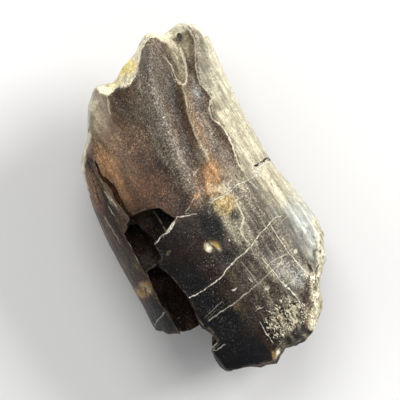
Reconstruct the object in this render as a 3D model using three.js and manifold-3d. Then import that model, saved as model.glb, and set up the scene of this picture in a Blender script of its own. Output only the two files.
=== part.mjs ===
// Fossil iguanodon tooth, lying on its back with the ridged enamel face up.
// Millimetres. +Y runs from the broken base to the worn tip, +X across the tooth, +Z out of the
// enamel face. The origin is under the middle of the tooth, on the surface that it lies on.

import * as THREE from 'three';
import { ParametricGeometry } from 'three/addons/geometries/ParametricGeometry.js';
import { LoftGeometry } from 'three/addons/geometries/LoftGeometry.js';
import { ImprovedNoise } from 'three/addons/math/ImprovedNoise.js';
import { mergeGeometries, mergeVertices } from 'three/addons/utils/BufferGeometryUtils.js';
import Module from 'manifold-3d';

const wasm = await Module();
wasm.setup();

// ---- driving dimensions ----

const LENGTH = 22;
const HALF_WIDTH = 6.2;
const COLUMNS = 44;
const ROWS = 44;
const SIDE_CROWDING = 0.75;
const TIP_CROWDING = [0.22, 0.45];

// The unbroken tooth seen from above: each side from the root to the tip, then the worn tip.
// The root runs on past the break that ends it.
const LEFT_SIDE = [
  [-5.3, -12.2], [-6.1, -9], [-6.42, -6.5], [-6.45, -5.1], [-6.3, -3.5], [-6.2, -1.5],
  [-5.98, 1.3], [-5.7, 3.1], [-5.2, 5.1], [-4.9, 6.0],
];
const RIGHT_SIDE = [
  [5.3, -12.2], [5.9, -9], [6.15, -6.5], [6.2, -4.6], [6.0, -2.4], [5.68, 0], [5.75, 2],
  [5.85, 4], [6.15, 6.5], [6.43, 8.5], [6.43, 9.2], [6.2, 9.85],
];
const TIP_EDGE = [
  [-4.9, 6.0], [-4.6, 6.5], [-4.2, 6.95], [-3.65, 7.35], [-3.2, 8.0], [-2.5, 9.05], [-2.0, 9.5],
  [-1.6, 9.82], [-1.3, 9.88], [-1.0, 9.85], [-0.4, 9.6], [0, 9.65], [0.7, 10.05], [1.2, 10.22],
  [2.0, 10.45], [2.6, 10.95], [3.1, 11.13], [3.6, 10.9], [4.0, 10.5], [4.25, 10.43],
  [5.2, 10.53], [5.8, 10.25], [6.2, 9.85],
];
const ROOT_END = [[-5.3, -12.2], [5.3, -12.2]];
const EXTRA_ROOT = 1.2;

// Heights along the tooth as [y, z]: the crown of the enamel face, the back, and the widest line.
const FACE_HEIGHT = [
  [-12.2, 9.6], [-8, 10.4], [-4, 10.86], [0, 10.93], [4, 10.48], [8, 9.6], [11, 8.75],
];
const BACK_HEIGHT = [
  [-12.2, 1.5], [-9, 0.7], [-6, 0], [-3, -0.35], [0, -0.4], [3, -0.1], [6, 0.8], [11, 3.5],
];
const SIDE_HEIGHT = [[-12.2, 4.9], [-3, 5.1], [4, 5.4], [7.5, 6.6], [11, 7.8]];
const FACE_SQUARENESS = 2.7;
const BACK_SQUARENESS = 2.2;
const TIP_ROUNDING = 1.1;
const ROOT_ROUNDING = 0.4;
const RELIEF_FADE = 0.55;
const COLUMN_LENGTH = 21;

// The chewing facet ground obliquely across the back of the tip.
const FACET_FOOT = { y: 4.2, z: 0.9 };
const FACET_ANGLE = 46;
const FACET_HOLLOW = 0.4;
const FACET_HOLLOW_WIDTH = 6;

// Ridges and valleys of the enamel face. A crest is a list of [y, x], a height a list of [y, mm].
const FACE_RELIEF = [
  { // broad left lobe
    crest: [[-2, -2.6], [2, -3.0], [5, -3.0], [7, -2.7], [8.5, -2.2], [9.8, -1.5]],
    left: 1.7, right: 1.15, height: [[-3, 0], [1, 0.2], [5, 0.35], [8, 0.45], [10, 0.45]],
  },
  { // wide valley beside the lobe
    crest: [[-1, -0.4], [2, -0.45], [5, -0.6], [7, -0.75], [8, -0.7], [9.8, -0.35]],
    left: 0.75, right: 1.2, height: [[-2, 0], [1, -0.2], [4, -0.45], [8, -0.75], [10, -0.85]],
  },
  { // main ridge
    crest: [
      [-1, 0.15], [1, 0.2], [2, 0.4], [4, 0.8], [5.5, 0.95], [7, 1.3], [8, 1.65], [9.5, 2.35], [11, 3.1],
    ],
    left: 0.75, right: 0.65, height: [[-1.5, 0], [1, 0.2], [4, 0.45], [7, 0.55], [9.5, 0.7], [11, 0.55]],
  },
  { // dark valley beside the main ridge
    crest: [[0, 0.9], [2.4, 1.25], [4, 1.65], [5, 1.95], [6, 2.25], [7, 2.6], [8, 2.85], [9.3, 3.2]],
    left: 0.5, right: 0.5, height: [[-0.5, 0], [1.5, -0.2], [4, -0.38], [7, -0.42], [8.6, -0.25], [9.6, 0]],
  },
  { // thin second ridge
    crest: [[0, 2.1], [2.2, 2.25], [4, 2.42], [5.2, 2.68], [6.3, 3.12], [7, 3.4]],
    left: 0.42, right: 0.42, height: [[-1, 0], [1, 0.2], [4, 0.28], [6.5, 0.28], [7.6, 0]],
  },
  { // valley inside the edge of the right side
    crest: [[0, 3.0], [3, 3.25], [5, 3.6], [6.5, 3.9], [8, 4.55], [9, 5.0], [10, 5.1]],
    left: 0.55, right: 0.4, height: [[-1, 0], [2, -0.2], [5, -0.3], [8, -0.3], [9.4, -0.32], [10.4, 0]],
  },
  { // raised edge of the right side
    crest: [
      [0, 3.8], [2, 4.1], [4, 4.05], [5.3, 4.7], [6.2, 4.5], [7.1, 4.7], [8.1, 5.15], [9.1, 5.7], [10, 5.65],
    ],
    left: 0.42, right: 0.75, height: [[-2, 0], [1, 0.2], [5, 0.32], [9, 0.4], [10.2, 0.3]],
  },
  { // low swell running down to the base
    crest: [[-9, 1.9], [-6, 1.7], [-3, 1.6], [0, 1.9]],
    left: 0.5, right: 0.5, height: [[-10, 0], [-7, 0.1], [-3, 0.12], [0.5, 0]],
  },
  { // low swell beside it
    crest: [[-9, 3.7], [-6, 3.6], [-3, 3.5], [0, 3.4]],
    left: 0.5, right: 0.5, height: [[-10, 0], [-7, 0.12], [-3, 0.1], [0.5, 0]],
  },
];

// The spoon-shaped facet under the main peak: centre, half width and length, depth.
const SPOON = { x: 3.98, y: 8.75, halfWidth: 0.66, halfLength: 1.9, lean: 0.27, depth: 0.4 };

// Worn strip along the tip where the enamel is gone, as the [x, y] edge of the enamel left.
const ENAMEL_EDGE = [
  [-1.4, 9.55], [-1.0, 9.1], [-0.6, 9.12], [-0.3, 9.22], [0.3, 8.9], [0.9, 9.0], [1.4, 9.35],
  [1.9, 9.9], [2.4, 10.4], [3.1, 10.72], [3.6, 10.6], [4.1, 10.1],
];
const ENAMEL_STEP = 0.16;

// The side strip left of the gap lies lower than the face, by [y, mm], outside this line of [y, x].
const STRIP_LINE = [[-12, -3.6], [-6, -4.3], [0, -4.2], [3, -4.0], [6, -4.05], [7.5, -3.6]];
const STRIP_DROP = [[-9, 0.35], [0, 0.4], [4, 0.35], [6, 0.15], [7, 0]];

// The broken base seen from above, from the right side round to the left side strip.
const BASE_BREAK = [
  [6.35, -4.6], [6.2, -5.0], [6.0, -6.0], [5.6, -6.5], [5.3, -7.0], [4.9, -7.4], [4.3, -8.0],
  [4.0, -8.5], [3.45, -9.5], [3.0, -10.0], [2.5, -10.45], [2.0, -10.75], [1.4, -10.92],
  [0.7, -10.85], [0.05, -10.65], [-0.5, -10.85], [-0.9, -11.03], [-1.4, -10.9], [-2.5, -10.5],
  [-3.3, -10.2], [-3.9, -9.8], [-4.05, -9.4], [-4.05, -8.9], [-3.97, -8.25], [-3.4, -8.0],
  [-3.45, -7.5], [-3.6, -7.0], [-3.75, -6.85], [-4.5, -6.65], [-5.0, -6.45], [-5.8, -5.95],
  [-6.2, -5.6], [-6.5, -5.25], [-6.8, -5.0],
];
// How far the break stands in from that outline at each height, as [z, mm], towards BREAK_MIDDLE.
const BREAK_INSET = [
  [-0.5, 1.1], [2, 0.55], [4.5, 0.15], [7, 0.1], [9, 0], [9.9, 0.1], [10.6, 0.4], [12, 0.5],
];
const BREAK_MIDDLE = [0, -3];
const BREAK_STEP = 0.7;
const BREAK_GRAIN = 1.3;
const BREAK_ROUGHNESS = 0.3;
// Near the face the break is cleaner.
const BREAK_CLEAN = { above: 8.5, roughness: 0.09 };
const BEYOND_BASE = [[-9, -5], [-9, -14], [9, -14], [9, -4.6]];

// The window broken through the left of the face. Outlines are [x, y], floors are heights.
const WINDOW_LEDGE = {
  outline: [
    [-4.35, 1.4], [-4.1, 0.9], [-3.9, 0.1], [-3.5, -0.56], [-2.5, -0.3], [-1.7, -0.05], [-1.35, 0.05],
    [-1.8, 0.8], [-2.0, 1.25], [-2.4, 1.32], [-3.0, 1.5], [-3.8, 1.6],
  ],
  floor: 9.05, roughness: 0.12,
};
const UPPER_WELL = {
  outline: [
    [-4.85, 0.9], [-4.92, -0.4], [-5.02, -1.85], [-4.5, -1.85], [-3.7, -1.85], [-3.45, -1.5],
    [-3.45, -0.56], [-3.6, 0.3], [-3.72, 1.1], [-4.3, 1.32],
  ],
  floor: 7.1, roughness: 0.2,
};
const LOWER_WELL = {
  outline: [
    [-5.02, -1.9], [-5.1, -3.5], [-5.15, -5.0], [-5.22, -7.4], [-3.55, -7.4], [-3.75, -6.5], [-3.5, -5.5],
    [-3.45, -4.7], [-3.58, -3.4], [-3.72, -2.5], [-3.95, -1.9], [-4.5, -1.84],
  ],
  floor: 5.9, roughness: 0.2,
};
const SIDE_GAP = {
  outline: [
    [-3.98, 1.3], [-4.03, 3.0], [-4.08, 4.3], [-4.02, 5.9], [-3.93, 5.9], [-3.92, 4.7], [-3.62, 4.0],
    [-3.66, 3.3], [-3.75, 2.4], [-3.72, 1.3],
  ],
  floor: 8.4, roughness: 0.1,
};
// The hollow that the window opens, as [y, x, z, half width, half height] down to the base.
const HOLLOW = [
  [-1.95, -4.2, 6.4, 0.6, 0.6], [-2.8, -3.95, 6.6, 1.05, 1.15],
  [-5, -3.75, 6.7, 1.3, 1.5], [-7.5, -3.2, 6.4, 1.4, 1.6], [-10, -2.4, 6.1, 1.5, 1.65],
  [-13, -1.9, 5.9, 1.5, 1.65],
];
const HOLLOW_SIDES = 18;
const HOLLOW_GRAIN = 1.4;
const HOLLOW_ROUGHNESS = 0.25;
const WALL_GRAIN = 0.9;
const CUTTER_TOP = 13;

// Small losses of the surface: centre, radii and the height of the centre above the face.
const TIP_PIT = { x: 4.85, y: 9.78, radii: [0.27, 0.34, 0.45], lift: 0.0 };
const FACE_CHIP = { x: -0.45, y: -2.65, radii: [0.5, 0.42, 0.2], lift: 0.02 };
const BASE_NOTCH = { x: 4.15, y: -7.35, radii: [0.28, 0.42, 0.4], lift: 0.05 };

// The crumbled patch over the base and the round lobe at its foot.
const CRUMBLED_PATCH = {
  outline: [
    [-0.42, -8.3], [-0.5, -9.4], [-0.36, -10.1], [-0.75, -10.75], [-0.6, -11.4], [2.4, -11.4],
    [2.5, -10.2], [2.75, -9.6], [2.55, -8.9], [2.1, -8.55], [1.3, -8.3], [0.4, -8.1],
  ],
  floor: 9.62, roughness: 0.12,
};
const BASE_LOBE = { x: 1.2, y: -10.35, radii: [0.85, 0.5, 0.75], lift: -0.55 };

const FOSSIL_COLOUR = 0x4b423a;

const noise = new ImprovedNoise();

// ---- small helpers ----

// Smooth curve through a table of [position, value] pairs, held level past both ends.
function tableValue(table, position) {
  const last = table.length - 1;
  if (position <= table[0][0]) return table[0][1];
  if (position >= table[last][0]) return table[last][1];
  let i = 0;
  while (position > table[i + 1][0]) i += 1;
  const [x0, y0] = table[i];
  const [x1, y1] = table[i + 1];
  const before = table[Math.max(i - 1, 0)];
  const after = table[Math.min(i + 2, last)];
  const span = x1 - x0;
  const startSlope = (y1 - before[1]) / (x1 - before[0]) * span;
  const endSlope = (after[1] - y0) / (after[0] - x0) * span;
  const t = (position - x0) / span;
  return y0 * (1 + 2 * t) * (1 - t) ** 2 + startSlope * t * (1 - t) ** 2
    + y1 * t * t * (3 - 2 * t) + endSlope * t * t * (t - 1);
}

function curveThrough(points) {
  return new THREE.SplineCurve(points.map(([x, y]) => new THREE.Vector2(x, y)));
}

function roughness(x, y, z, size) {
  return noise.noise(x / size, y / size, z / size);
}

// Makes a solid from a geometry whose matching vertices are merged.
function toSolid(geometry) {
  const bare = new THREE.BufferGeometry().copy(geometry);
  bare.deleteAttribute('normal');
  bare.deleteAttribute('uv');
  const merged = mergeVertices(bare, 1e-4);
  const corners = Array.from(merged.index.array);
  const triangles = [];
  for (let i = 0; i < corners.length; i += 3) {
    const [a, b, c] = corners.slice(i, i + 3);
    if (a !== b && b !== c && c !== a) triangles.push(a, b, c);
  }
  return new wasm.Manifold(new wasm.Mesh({
    numProp: 3,
    vertProperties: new Float32Array(merged.getAttribute('position').array),
    triVerts: new Uint32Array(triangles),
  }));
}

function toGeometry(solid) {
  const mesh = solid.getMesh();
  const geometry = new THREE.BufferGeometry();
  geometry.setAttribute('position', new THREE.BufferAttribute(mesh.vertProperties, 3));
  geometry.setIndex(new THREE.BufferAttribute(mesh.triVerts, 1));
  geometry.computeVertexNormals();
  return geometry;
}

// ---- the unbroken tooth ----

const leftSide = curveThrough(LEFT_SIDE);
const rightSide = curveThrough(RIGHT_SIDE);
const tipEdge = curveThrough(TIP_EDGE);
const rootEnd = curveThrough(ROOT_END);
const planCorners = [
  leftSide.getPoint(0), rightSide.getPoint(0), leftSide.getPoint(1), rightSide.getPoint(1),
];

// Point of the plan at s across from the left and t along from the root.
function planPoint(s, t) {
  const left = leftSide.getPointAt(t);
  const right = rightSide.getPointAt(t);
  const root = rootEnd.getPointAt(s);
  const tip = tipEdge.getPointAt(s);
  const weights = [-(1 - s) * (1 - t), -s * (1 - t), -(1 - s) * t, -s * t];
  const point = left.multiplyScalar(1 - s).addScaledVector(right, s);
  point.addScaledVector(root, 1 - t).addScaledVector(tip, t);
  planCorners.forEach((corner, i) => point.addScaledVector(corner, weights[i]));
  return point;
}

// How full the section is: 0 on the outline, 1 in the middle.
function fullness(s, t, squareness) {
  const side = (1 - Math.abs(2 * s - 1) ** squareness) ** (1 / squareness);
  const fromTip = Math.min((1 - t) * COLUMN_LENGTH / TIP_ROUNDING, 1);
  const fromRoot = Math.min(t * COLUMN_LENGTH / ROOT_ROUNDING, 1);
  return side * Math.sqrt(1 - (1 - fromTip) ** 2) * Math.sqrt(1 - (1 - fromRoot) ** 2);
}

function reliefHeight(x, y) {
  let height = 0;
  for (const { crest, left, right, height: heights } of FACE_RELIEF) {
    const offset = x - tableValue(crest, y);
    const width = offset < 0 ? left : right;
    height += tableValue(heights, y) * Math.exp(-((offset / width) ** 2));
  }
  return height + spoonHeight(x, y) + enamelLoss(x, y) + stripDrop(x, y);
}

function spoonHeight(x, y) {
  const along = (y - SPOON.y) / SPOON.halfLength;
  const across = (x - SPOON.x - SPOON.lean * (y - SPOON.y)) / SPOON.halfWidth;
  return -SPOON.depth * Math.exp(-((across ** 2 + along ** 2) ** 2));
}

function enamelLoss(x, y) {
  if (x < ENAMEL_EDGE[0][0] || x > ENAMEL_EDGE.at(-1)[0]) return 0;
  const past = y - tableValue(ENAMEL_EDGE, x);
  return -ENAMEL_STEP * THREE.MathUtils.smoothstep(past, -0.1, 0.15);
}

function stripDrop(x, y) {
  const outside = tableValue(STRIP_LINE, y) - x;
  return -tableValue(STRIP_DROP, y) * THREE.MathUtils.smoothstep(outside, -0.15, 0.25);
}

function faceHeight(x, y, s, t) {
  const side = tableValue(SIDE_HEIGHT, y);
  const full = fullness(s, t, FACE_SQUARENESS);
  const relief = reliefHeight(x, y) * Math.min(full / RELIEF_FADE, 1) ** 2;
  return side + (tableValue(FACE_HEIGHT, y) - side) * full + relief;
}

function backHeight(x, y, s, t) {
  const side = tableValue(SIDE_HEIGHT, y);
  const full = fullness(s, t, BACK_SQUARENESS);
  return side - (side - tableValue(BACK_HEIGHT, y)) * full;
}

// Closer columns where the surface turns down the sides.
function columnPlace(u) {
  return THREE.MathUtils.lerp(u, (1 - Math.cos(Math.PI * u)) / 2, SIDE_CROWDING);
}

// Closer rows where the surface turns over the tip.
function rowPlace(v) {
  const crowding = TIP_CROWDING[0] + TIP_CROWDING[1] * v ** 6;
  return THREE.MathUtils.lerp(v, Math.sin(v * Math.PI / 2), crowding);
}

function unbrokenTooth() {
  const face = new ParametricGeometry((u, v, target) => {
    const [s, t] = [columnPlace(u), rowPlace(v)];
    const { x, y } = planPoint(s, t);
    target.set(x, y, faceHeight(x, y, s, t));
  }, COLUMNS, ROWS);
  const back = new ParametricGeometry((u, v, target) => {
    const [s, t] = [columnPlace(1 - u), rowPlace(v)];
    const { x, y } = planPoint(s, t);
    target.set(x, y, backHeight(x, y, s, t));
  }, COLUMNS, ROWS);
  return toSolid(mergeGeometries([face, back]));
}

// ---- the breaks ----

// A solid standing on an outline: each layer is the outline at one height, and corners may be
// shifted, so that the wall looks fractured and the floor uneven.
function brokenPrism(layers) {
  const sections = layers.map((layer) => layer.map(([x, y, z]) => new THREE.Vector3(x, y, z)));
  return toSolid(new LoftGeometry(sections, { capStart: true, capEnd: true }));
}

// Line with a point about every `step` along it.
function divided(line, step) {
  const points = [line[0]];
  for (let i = 1; i < line.length; i += 1) {
    const [x0, y0] = line[i - 1];
    const [x1, y1] = line[i];
    const pieces = Math.max(Math.round(Math.hypot(x1 - x0, y1 - y0) / step), 1);
    for (let j = 1; j <= pieces; j += 1) {
      points.push([x0 + (x1 - x0) * j / pieces, y0 + (y1 - y0) * j / pieces]);
    }
  }
  return points;
}

// Outline as a cutter from its rough floor up through the face, with rough walls.
function pitCutter({ outline, floor, roughness: amount }) {
  const points = orderedLeftTurning(outline);
  const middle = (floor + CUTTER_TOP) / 2 - 1;
  const bottom = points.map(([x, y]) => [x, y, floor + 2 * amount * roughness(x, y, floor, WALL_GRAIN)]);
  const wall = points.map(([x, y]) => [
    x + amount * roughness(x, y, middle, WALL_GRAIN),
    y + amount * roughness(y, x, middle, WALL_GRAIN),
    middle,
  ]);
  const top = points.map(([x, y]) => [x, y, CUTTER_TOP]);
  return brokenPrism([bottom, wall, top]);
}

function orderedLeftTurning(outline) {
  const area = THREE.ShapeUtils.area(outline.map(([x, y]) => new THREE.Vector2(x, y)));
  return area > 0 ? outline : [...outline].reverse();
}

// Everything beyond the broken base: the outline is carried outwards, away from the tooth.
function baseCutter() {
  const edge = divided(BASE_BREAK, BREAK_STEP);
  const layers = BREAK_INSET.map(([z, inset]) => {
    const amount = z > BREAK_CLEAN.above ? BREAK_CLEAN.roughness : BREAK_ROUGHNESS;
    const inner = edge.map(([x, y]) => {
      const inward = new THREE.Vector2(BREAK_MIDDLE[0] - x, BREAK_MIDDLE[1] - y);
      inward.setLength(inset + amount * roughness(x, y, z, BREAK_GRAIN));
      return [x + inward.x, y + inward.y, z];
    });
    const outer = BEYOND_BASE.map(([x, y]) => [x, y, z]);
    return [...inner, ...outer];
  });
  return brokenPrism(layers);
}

function hollowCutter() {
  const sections = HOLLOW.map(([y, x, z, halfWidth, halfHeight]) => {
    const ring = [];
    for (let i = 0; i < HOLLOW_SIDES; i += 1) {
      const angle = i / HOLLOW_SIDES * 2 * Math.PI;
      const [across, up] = [halfWidth * Math.cos(angle), halfHeight * Math.sin(angle)];
      const swell = 1 + HOLLOW_ROUGHNESS * roughness(across, y, up, HOLLOW_GRAIN);
      ring.push([x + across * swell, y, z + up * swell]);
    }
    return ring;
  });
  return brokenPrism(sections);
}

// A rounded lump or dent on the face, centred on it or `lift` above it.
function faceLump({ x, y, radii, lift }) {
  const lump = new THREE.SphereGeometry(1, 14, 10);
  lump.scale(...radii);
  lump.translate(x, y, faceHeightAt(x, y) + lift);
  return toSolid(lump);
}

// Height of the unbroken face over a point of the plan.
function faceHeightAt(x, y) {
  const across = (x + HALF_WIDTH) / (2 * HALF_WIDTH);
  const along = (y - ROOT_END[0][1]) / (LENGTH + EXTRA_ROOT);
  return faceHeight(x, y, across, along);
}

// The hollow chewing facet: a slab whose upper side bulges into the tooth.
function facetCutter() {
  const [width, length, depth] = [20, 22, 8];
  const slab = new THREE.BoxGeometry(width, length, depth, width, 1, 1);
  slab.translate(0, length / 4, -depth / 2);
  const corners = slab.getAttribute('position');
  for (let i = 0; i < corners.count; i += 1) {
    const across = Math.min(Math.abs(corners.getX(i)) / FACET_HOLLOW_WIDTH, 1);
    if (corners.getZ(i) === 0) corners.setZ(i, FACET_HOLLOW * (1 - across ** 2));
  }
  slab.rotateX(THREE.MathUtils.degToRad(FACET_ANGLE));
  slab.translate(0, FACET_FOOT.y, FACET_FOOT.z);
  return toSolid(slab);
}

// Everything under the flat face that the tooth rests on.
function restCutter() {
  const depth = 4;
  const slab = new THREE.BoxGeometry(30, 40, depth);
  slab.translate(0, 0, -depth / 2);
  return toSolid(slab);
}

function toothSolid() {
  let tooth = unbrokenTooth();
  const cutters = [
    restCutter(), facetCutter(), baseCutter(), hollowCutter(),
    pitCutter(WINDOW_LEDGE), pitCutter(UPPER_WELL), pitCutter(LOWER_WELL), pitCutter(SIDE_GAP),
    pitCutter(CRUMBLED_PATCH), faceLump(TIP_PIT), faceLump(FACE_CHIP), faceLump(BASE_NOTCH),
  ];
  for (const cutter of cutters) tooth = tooth.subtract(cutter);
  return tooth.add(faceLump(BASE_LOBE));
}

const tooth = new THREE.Mesh(
  toGeometry(toothSolid()),
  new THREE.MeshStandardMaterial({ color: FOSSIL_COLOUR, roughness: 0.4, metalness: 0 }),
);
tooth.name = 'tooth';

const group = new THREE.Group();
group.add(tooth);

export default group;
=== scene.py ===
"""A fossil iguanodon tooth, lying on its back with the ridged enamel face up.

The tooth is one piece. It is modelled closed and unbroken, then broken by cutters with rough
faces, and painted by its ridges, stains and cracks. Mineral grains cling where it is rough.
Lengths are in millimetres until a mesh is made. +Y runs from the broken base to the worn tip,
+X across the tooth, and +Z out of the enamel face.
"""

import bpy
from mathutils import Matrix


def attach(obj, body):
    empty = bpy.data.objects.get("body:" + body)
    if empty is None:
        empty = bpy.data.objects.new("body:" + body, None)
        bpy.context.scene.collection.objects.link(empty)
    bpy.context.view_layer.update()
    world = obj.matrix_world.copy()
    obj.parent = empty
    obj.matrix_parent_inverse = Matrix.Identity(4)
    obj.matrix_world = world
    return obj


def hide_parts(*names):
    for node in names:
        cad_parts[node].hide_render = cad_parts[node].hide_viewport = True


bl_info = {
    "name": "Fossil tooth",
    "version": (1, 0, 0),
    "blender": (4, 5, 0),
    "location": "3D View > Sidebar > Fossil tooth",
    "description": "Builds a broken fossil tooth with its stains, cracks and mineral grains",
    "category": "Add Mesh",
}

import copy
import math

import bpy
import numpy as np
from bpy.props import FloatProperty, FloatVectorProperty, IntProperty, PointerProperty
from mathutils import Vector
from mathutils.kdtree import KDTree

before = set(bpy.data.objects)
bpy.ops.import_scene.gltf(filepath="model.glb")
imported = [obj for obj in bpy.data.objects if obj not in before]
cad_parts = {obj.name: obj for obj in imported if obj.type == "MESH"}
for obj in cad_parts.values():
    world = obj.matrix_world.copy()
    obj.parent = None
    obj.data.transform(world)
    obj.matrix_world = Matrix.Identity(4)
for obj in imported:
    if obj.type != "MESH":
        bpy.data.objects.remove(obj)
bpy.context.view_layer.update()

MM = 0.001
NODE = "tooth"
BODY = "root"

# ---- the plan of the unbroken tooth ----
# Each side runs from the root to the tip as (x, y). The root runs on past the break.

LEFT_SIDE = (
    (-5.3, -12.2), (-6.1, -9), (-6.42, -6.5), (-6.45, -5.1), (-6.3, -3.5), (-6.2, -1.5),
    (-5.98, 1.3), (-5.7, 3.1), (-5.2, 5.1), (-4.9, 6),
)
RIGHT_SIDE = (
    (5.3, -12.2), (5.9, -9), (6.15, -6.5), (6.2, -4.6), (6, -2.4), (5.68, 0), (5.75, 2),
    (5.85, 4), (6.15, 6.5), (6.43, 8.5), (6.43, 9.2), (6.2, 9.85),
)
TIP_EDGE = (
    (-4.9, 6), (-4.6, 6.5), (-4.2, 6.95), (-3.65, 7.35), (-3.2, 8), (-2.5, 9.05), (-2, 9.5),
    (-1.6, 9.82), (-1.3, 9.88), (-1, 9.85), (-0.4, 9.6), (0, 9.65), (0.7, 10.05), (1.2, 10.22),
    (2, 10.45), (2.6, 10.95), (3.1, 11.13), (3.6, 10.9), (4, 10.5), (4.25, 10.43),
    (5.2, 10.53), (5.8, 10.25), (6.2, 9.85),
)
ROOT_END = ((-5.3, -12.2), (5.3, -12.2))

# Heights along the tooth as (y, z): the crown of the face, the back, and the widest line.
FACE_HEIGHT = (
    (-12.2, 9.6), (-8, 10.4), (-4, 10.86), (0, 10.93), (4, 10.48), (8, 9.6), (11, 8.75),
)
BACK_HEIGHT = (
    (-12.2, 1.5), (-9, 0.7), (-6, 0), (-3, -0.35), (0, -0.4), (3, -0.1), (6, 0.8), (11, 3.5),
)
SIDE_HEIGHT = ((-12.2, 4.9), (-3, 5.1), (4, 5.4), (7.5, 6.6), (11, 7.8))
FACE_SQUARENESS = 2.7
BACK_SQUARENESS = 2.2
TIP_ROUNDING = 1.1
ROOT_ROUNDING = 0.4
RELIEF_FADE = 0.55
COLUMN_LENGTH = 21

# Divisions of the face. The back has one for every BACK_STEP of them.
COLUMNS = 216
ROWS = 288
BACK_STEP = 3
BACK_UNEVENNESS = 1.6
SECTION_WIDTH = 12.4
SECTION_RISE = 5.7
TIP_RISE = 1.4

# ---- ridges and valleys of the enamel face ----
# A crest is (y, x) pairs, a height (y, mm) pairs; left and right are half widths.

LEFT_LOBE = {
    "crest": ((-2, -2.6), (2, -3), (5, -3), (7, -2.7), (8.5, -2.2), (9.8, -1.5)),
    "left": 1.7, "right": 1.15,
    "height": ((-3, 0), (1, 0.2), (5, 0.35), (8, 0.45), (10, 0.45)),
}
WIDE_VALLEY = {
    "crest": ((-1, -0.4), (2, -0.45), (5, -0.6), (7, -0.75), (8, -0.7), (9.8, -0.35)),
    "left": 0.75, "right": 1.2,
    "height": ((-2, 0), (1, -0.2), (4, -0.45), (8, -0.75), (10, -0.85)),
}
MAIN_RIDGE = {
    "crest": (
        (-1, 0.15), (1, 0.2), (2, 0.4), (4, 0.8), (5.5, 0.95), (7, 1.3), (8, 1.65), (9.5, 2.35),
        (11, 3.1),
    ),
    "left": 0.75, "right": 0.65,
    "height": ((-1.5, 0), (1, 0.2), (4, 0.45), (7, 0.55), (9.5, 0.7), (11, 0.55)),
}
DARK_VALLEY = {
    "crest": (
        (0, 0.9), (2.4, 1.25), (4, 1.65), (5, 1.95), (6, 2.25), (7, 2.6), (8, 2.85), (9.3, 3.2),
    ),
    "left": 0.5, "right": 0.5,
    "height": ((-0.5, 0), (1.5, -0.2), (4, -0.38), (7, -0.42), (8.6, -0.25), (9.6, 0)),
}
THIN_RIDGE = {
    "crest": ((0, 2.1), (2.2, 2.25), (4, 2.42), (5.2, 2.68), (6.3, 3.12), (7, 3.4)),
    "left": 0.28, "right": 0.34,
    "height": ((-1, 0), (1, 0.16), (4, 0.25), (6.5, 0.25), (7.6, 0)),
}
INNER_VALLEY = {
    "crest": ((0, 3), (3, 3.25), (5, 3.6), (6.5, 3.9), (8, 4.55), (9, 5), (10, 5.1)),
    "left": 0.55, "right": 0.4,
    "height": ((-1, 0), (2, -0.2), (5, -0.3), (8, -0.3), (9.4, -0.32), (10.4, 0)),
}
RAISED_EDGE = {
    "crest": (
        (0, 3.8), (2, 4.1), (4, 4.05), (5.3, 4.7), (6.2, 4.5), (7.1, 4.7), (8.1, 5.15),
        (9.1, 5.7), (10, 5.65),
    ),
    "left": 0.28, "right": 0.75,
    "height": ((-2, 0), (1, 0.2), (5, 0.32), (9, 0.4), (10.2, 0.3)),
}
FLANK_GROOVE = {
    "crest": ((3, 4.95), (5.8, 5), (6.7, 5.15), (7.6, 5.4), (8.6, 5.75)),
    "left": 0.3, "right": 0.3,
    "height": ((2, 0), (5, -0.12), (8, -0.14), (9.2, 0)),
}
LOW_SWELL = {
    "crest": ((-9, 1.9), (-6, 1.7), (-3, 1.6), (0, 1.9)),
    "left": 0.5, "right": 0.5,
    "height": ((-10, 0), (-7, 0.1), (-3, 0.12), (0.5, 0)),
}
OUTER_SWELL = {
    "crest": ((-9, 3.7), (-6, 3.6), (-3, 3.5), (0, 3.4)),
    "left": 0.5, "right": 0.5,
    "height": ((-10, 0), (-7, 0.12), (-3, 0.1), (0.5, 0)),
}
FACE_RELIEF = (
    LEFT_LOBE, WIDE_VALLEY, MAIN_RIDGE, DARK_VALLEY, THIN_RIDGE, INNER_VALLEY, RAISED_EDGE,
    FLANK_GROOVE, LOW_SWELL, OUTER_SWELL,
)
SPOON = {"x": 3.98, "y": 8.75, "half_width": 0.66, "half_length": 1.9, "lean": 0.27, "depth": 0.4}
ENAMEL_EDGE = (
    (-1.4, 9.55), (-1, 9.1), (-0.6, 9.12), (-0.3, 9.22), (0.3, 8.9), (0.9, 9), (1.4, 9.35),
    (1.9, 9.9), (2.4, 10.4), (3.1, 10.72), (3.6, 10.6), (4.1, 10.1),
)
ENAMEL_STEP = 0.16
STRIP_LINE = ((-12, -3.6), (-6, -4.3), (0, -4.2), (3, -4), (6, -4.05), (7.5, -3.6))
STRIP_DROP = ((-9, 0.35), (0, 0.4), (4, 0.35), (6, 0.15), (7, 0))

# Fine unevenness of the surface along its normal: grain size in mm, height in mm, lengthening
# along the tooth.
FACE_GRAINS = ((2.4, 0.045, 1.8), (0.9, 0.022, 1.5), (0.38, 0.012, 1.3), (0.2, 0.007, 1))
GROWTH_LINES = ((0.5, 0.014, 14), (0.23, 0.008, 10))
GRAIN_FADE = 0.12

# ---- the breaks ----
# Outlines are (x, y), floors heights in mm.

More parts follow.
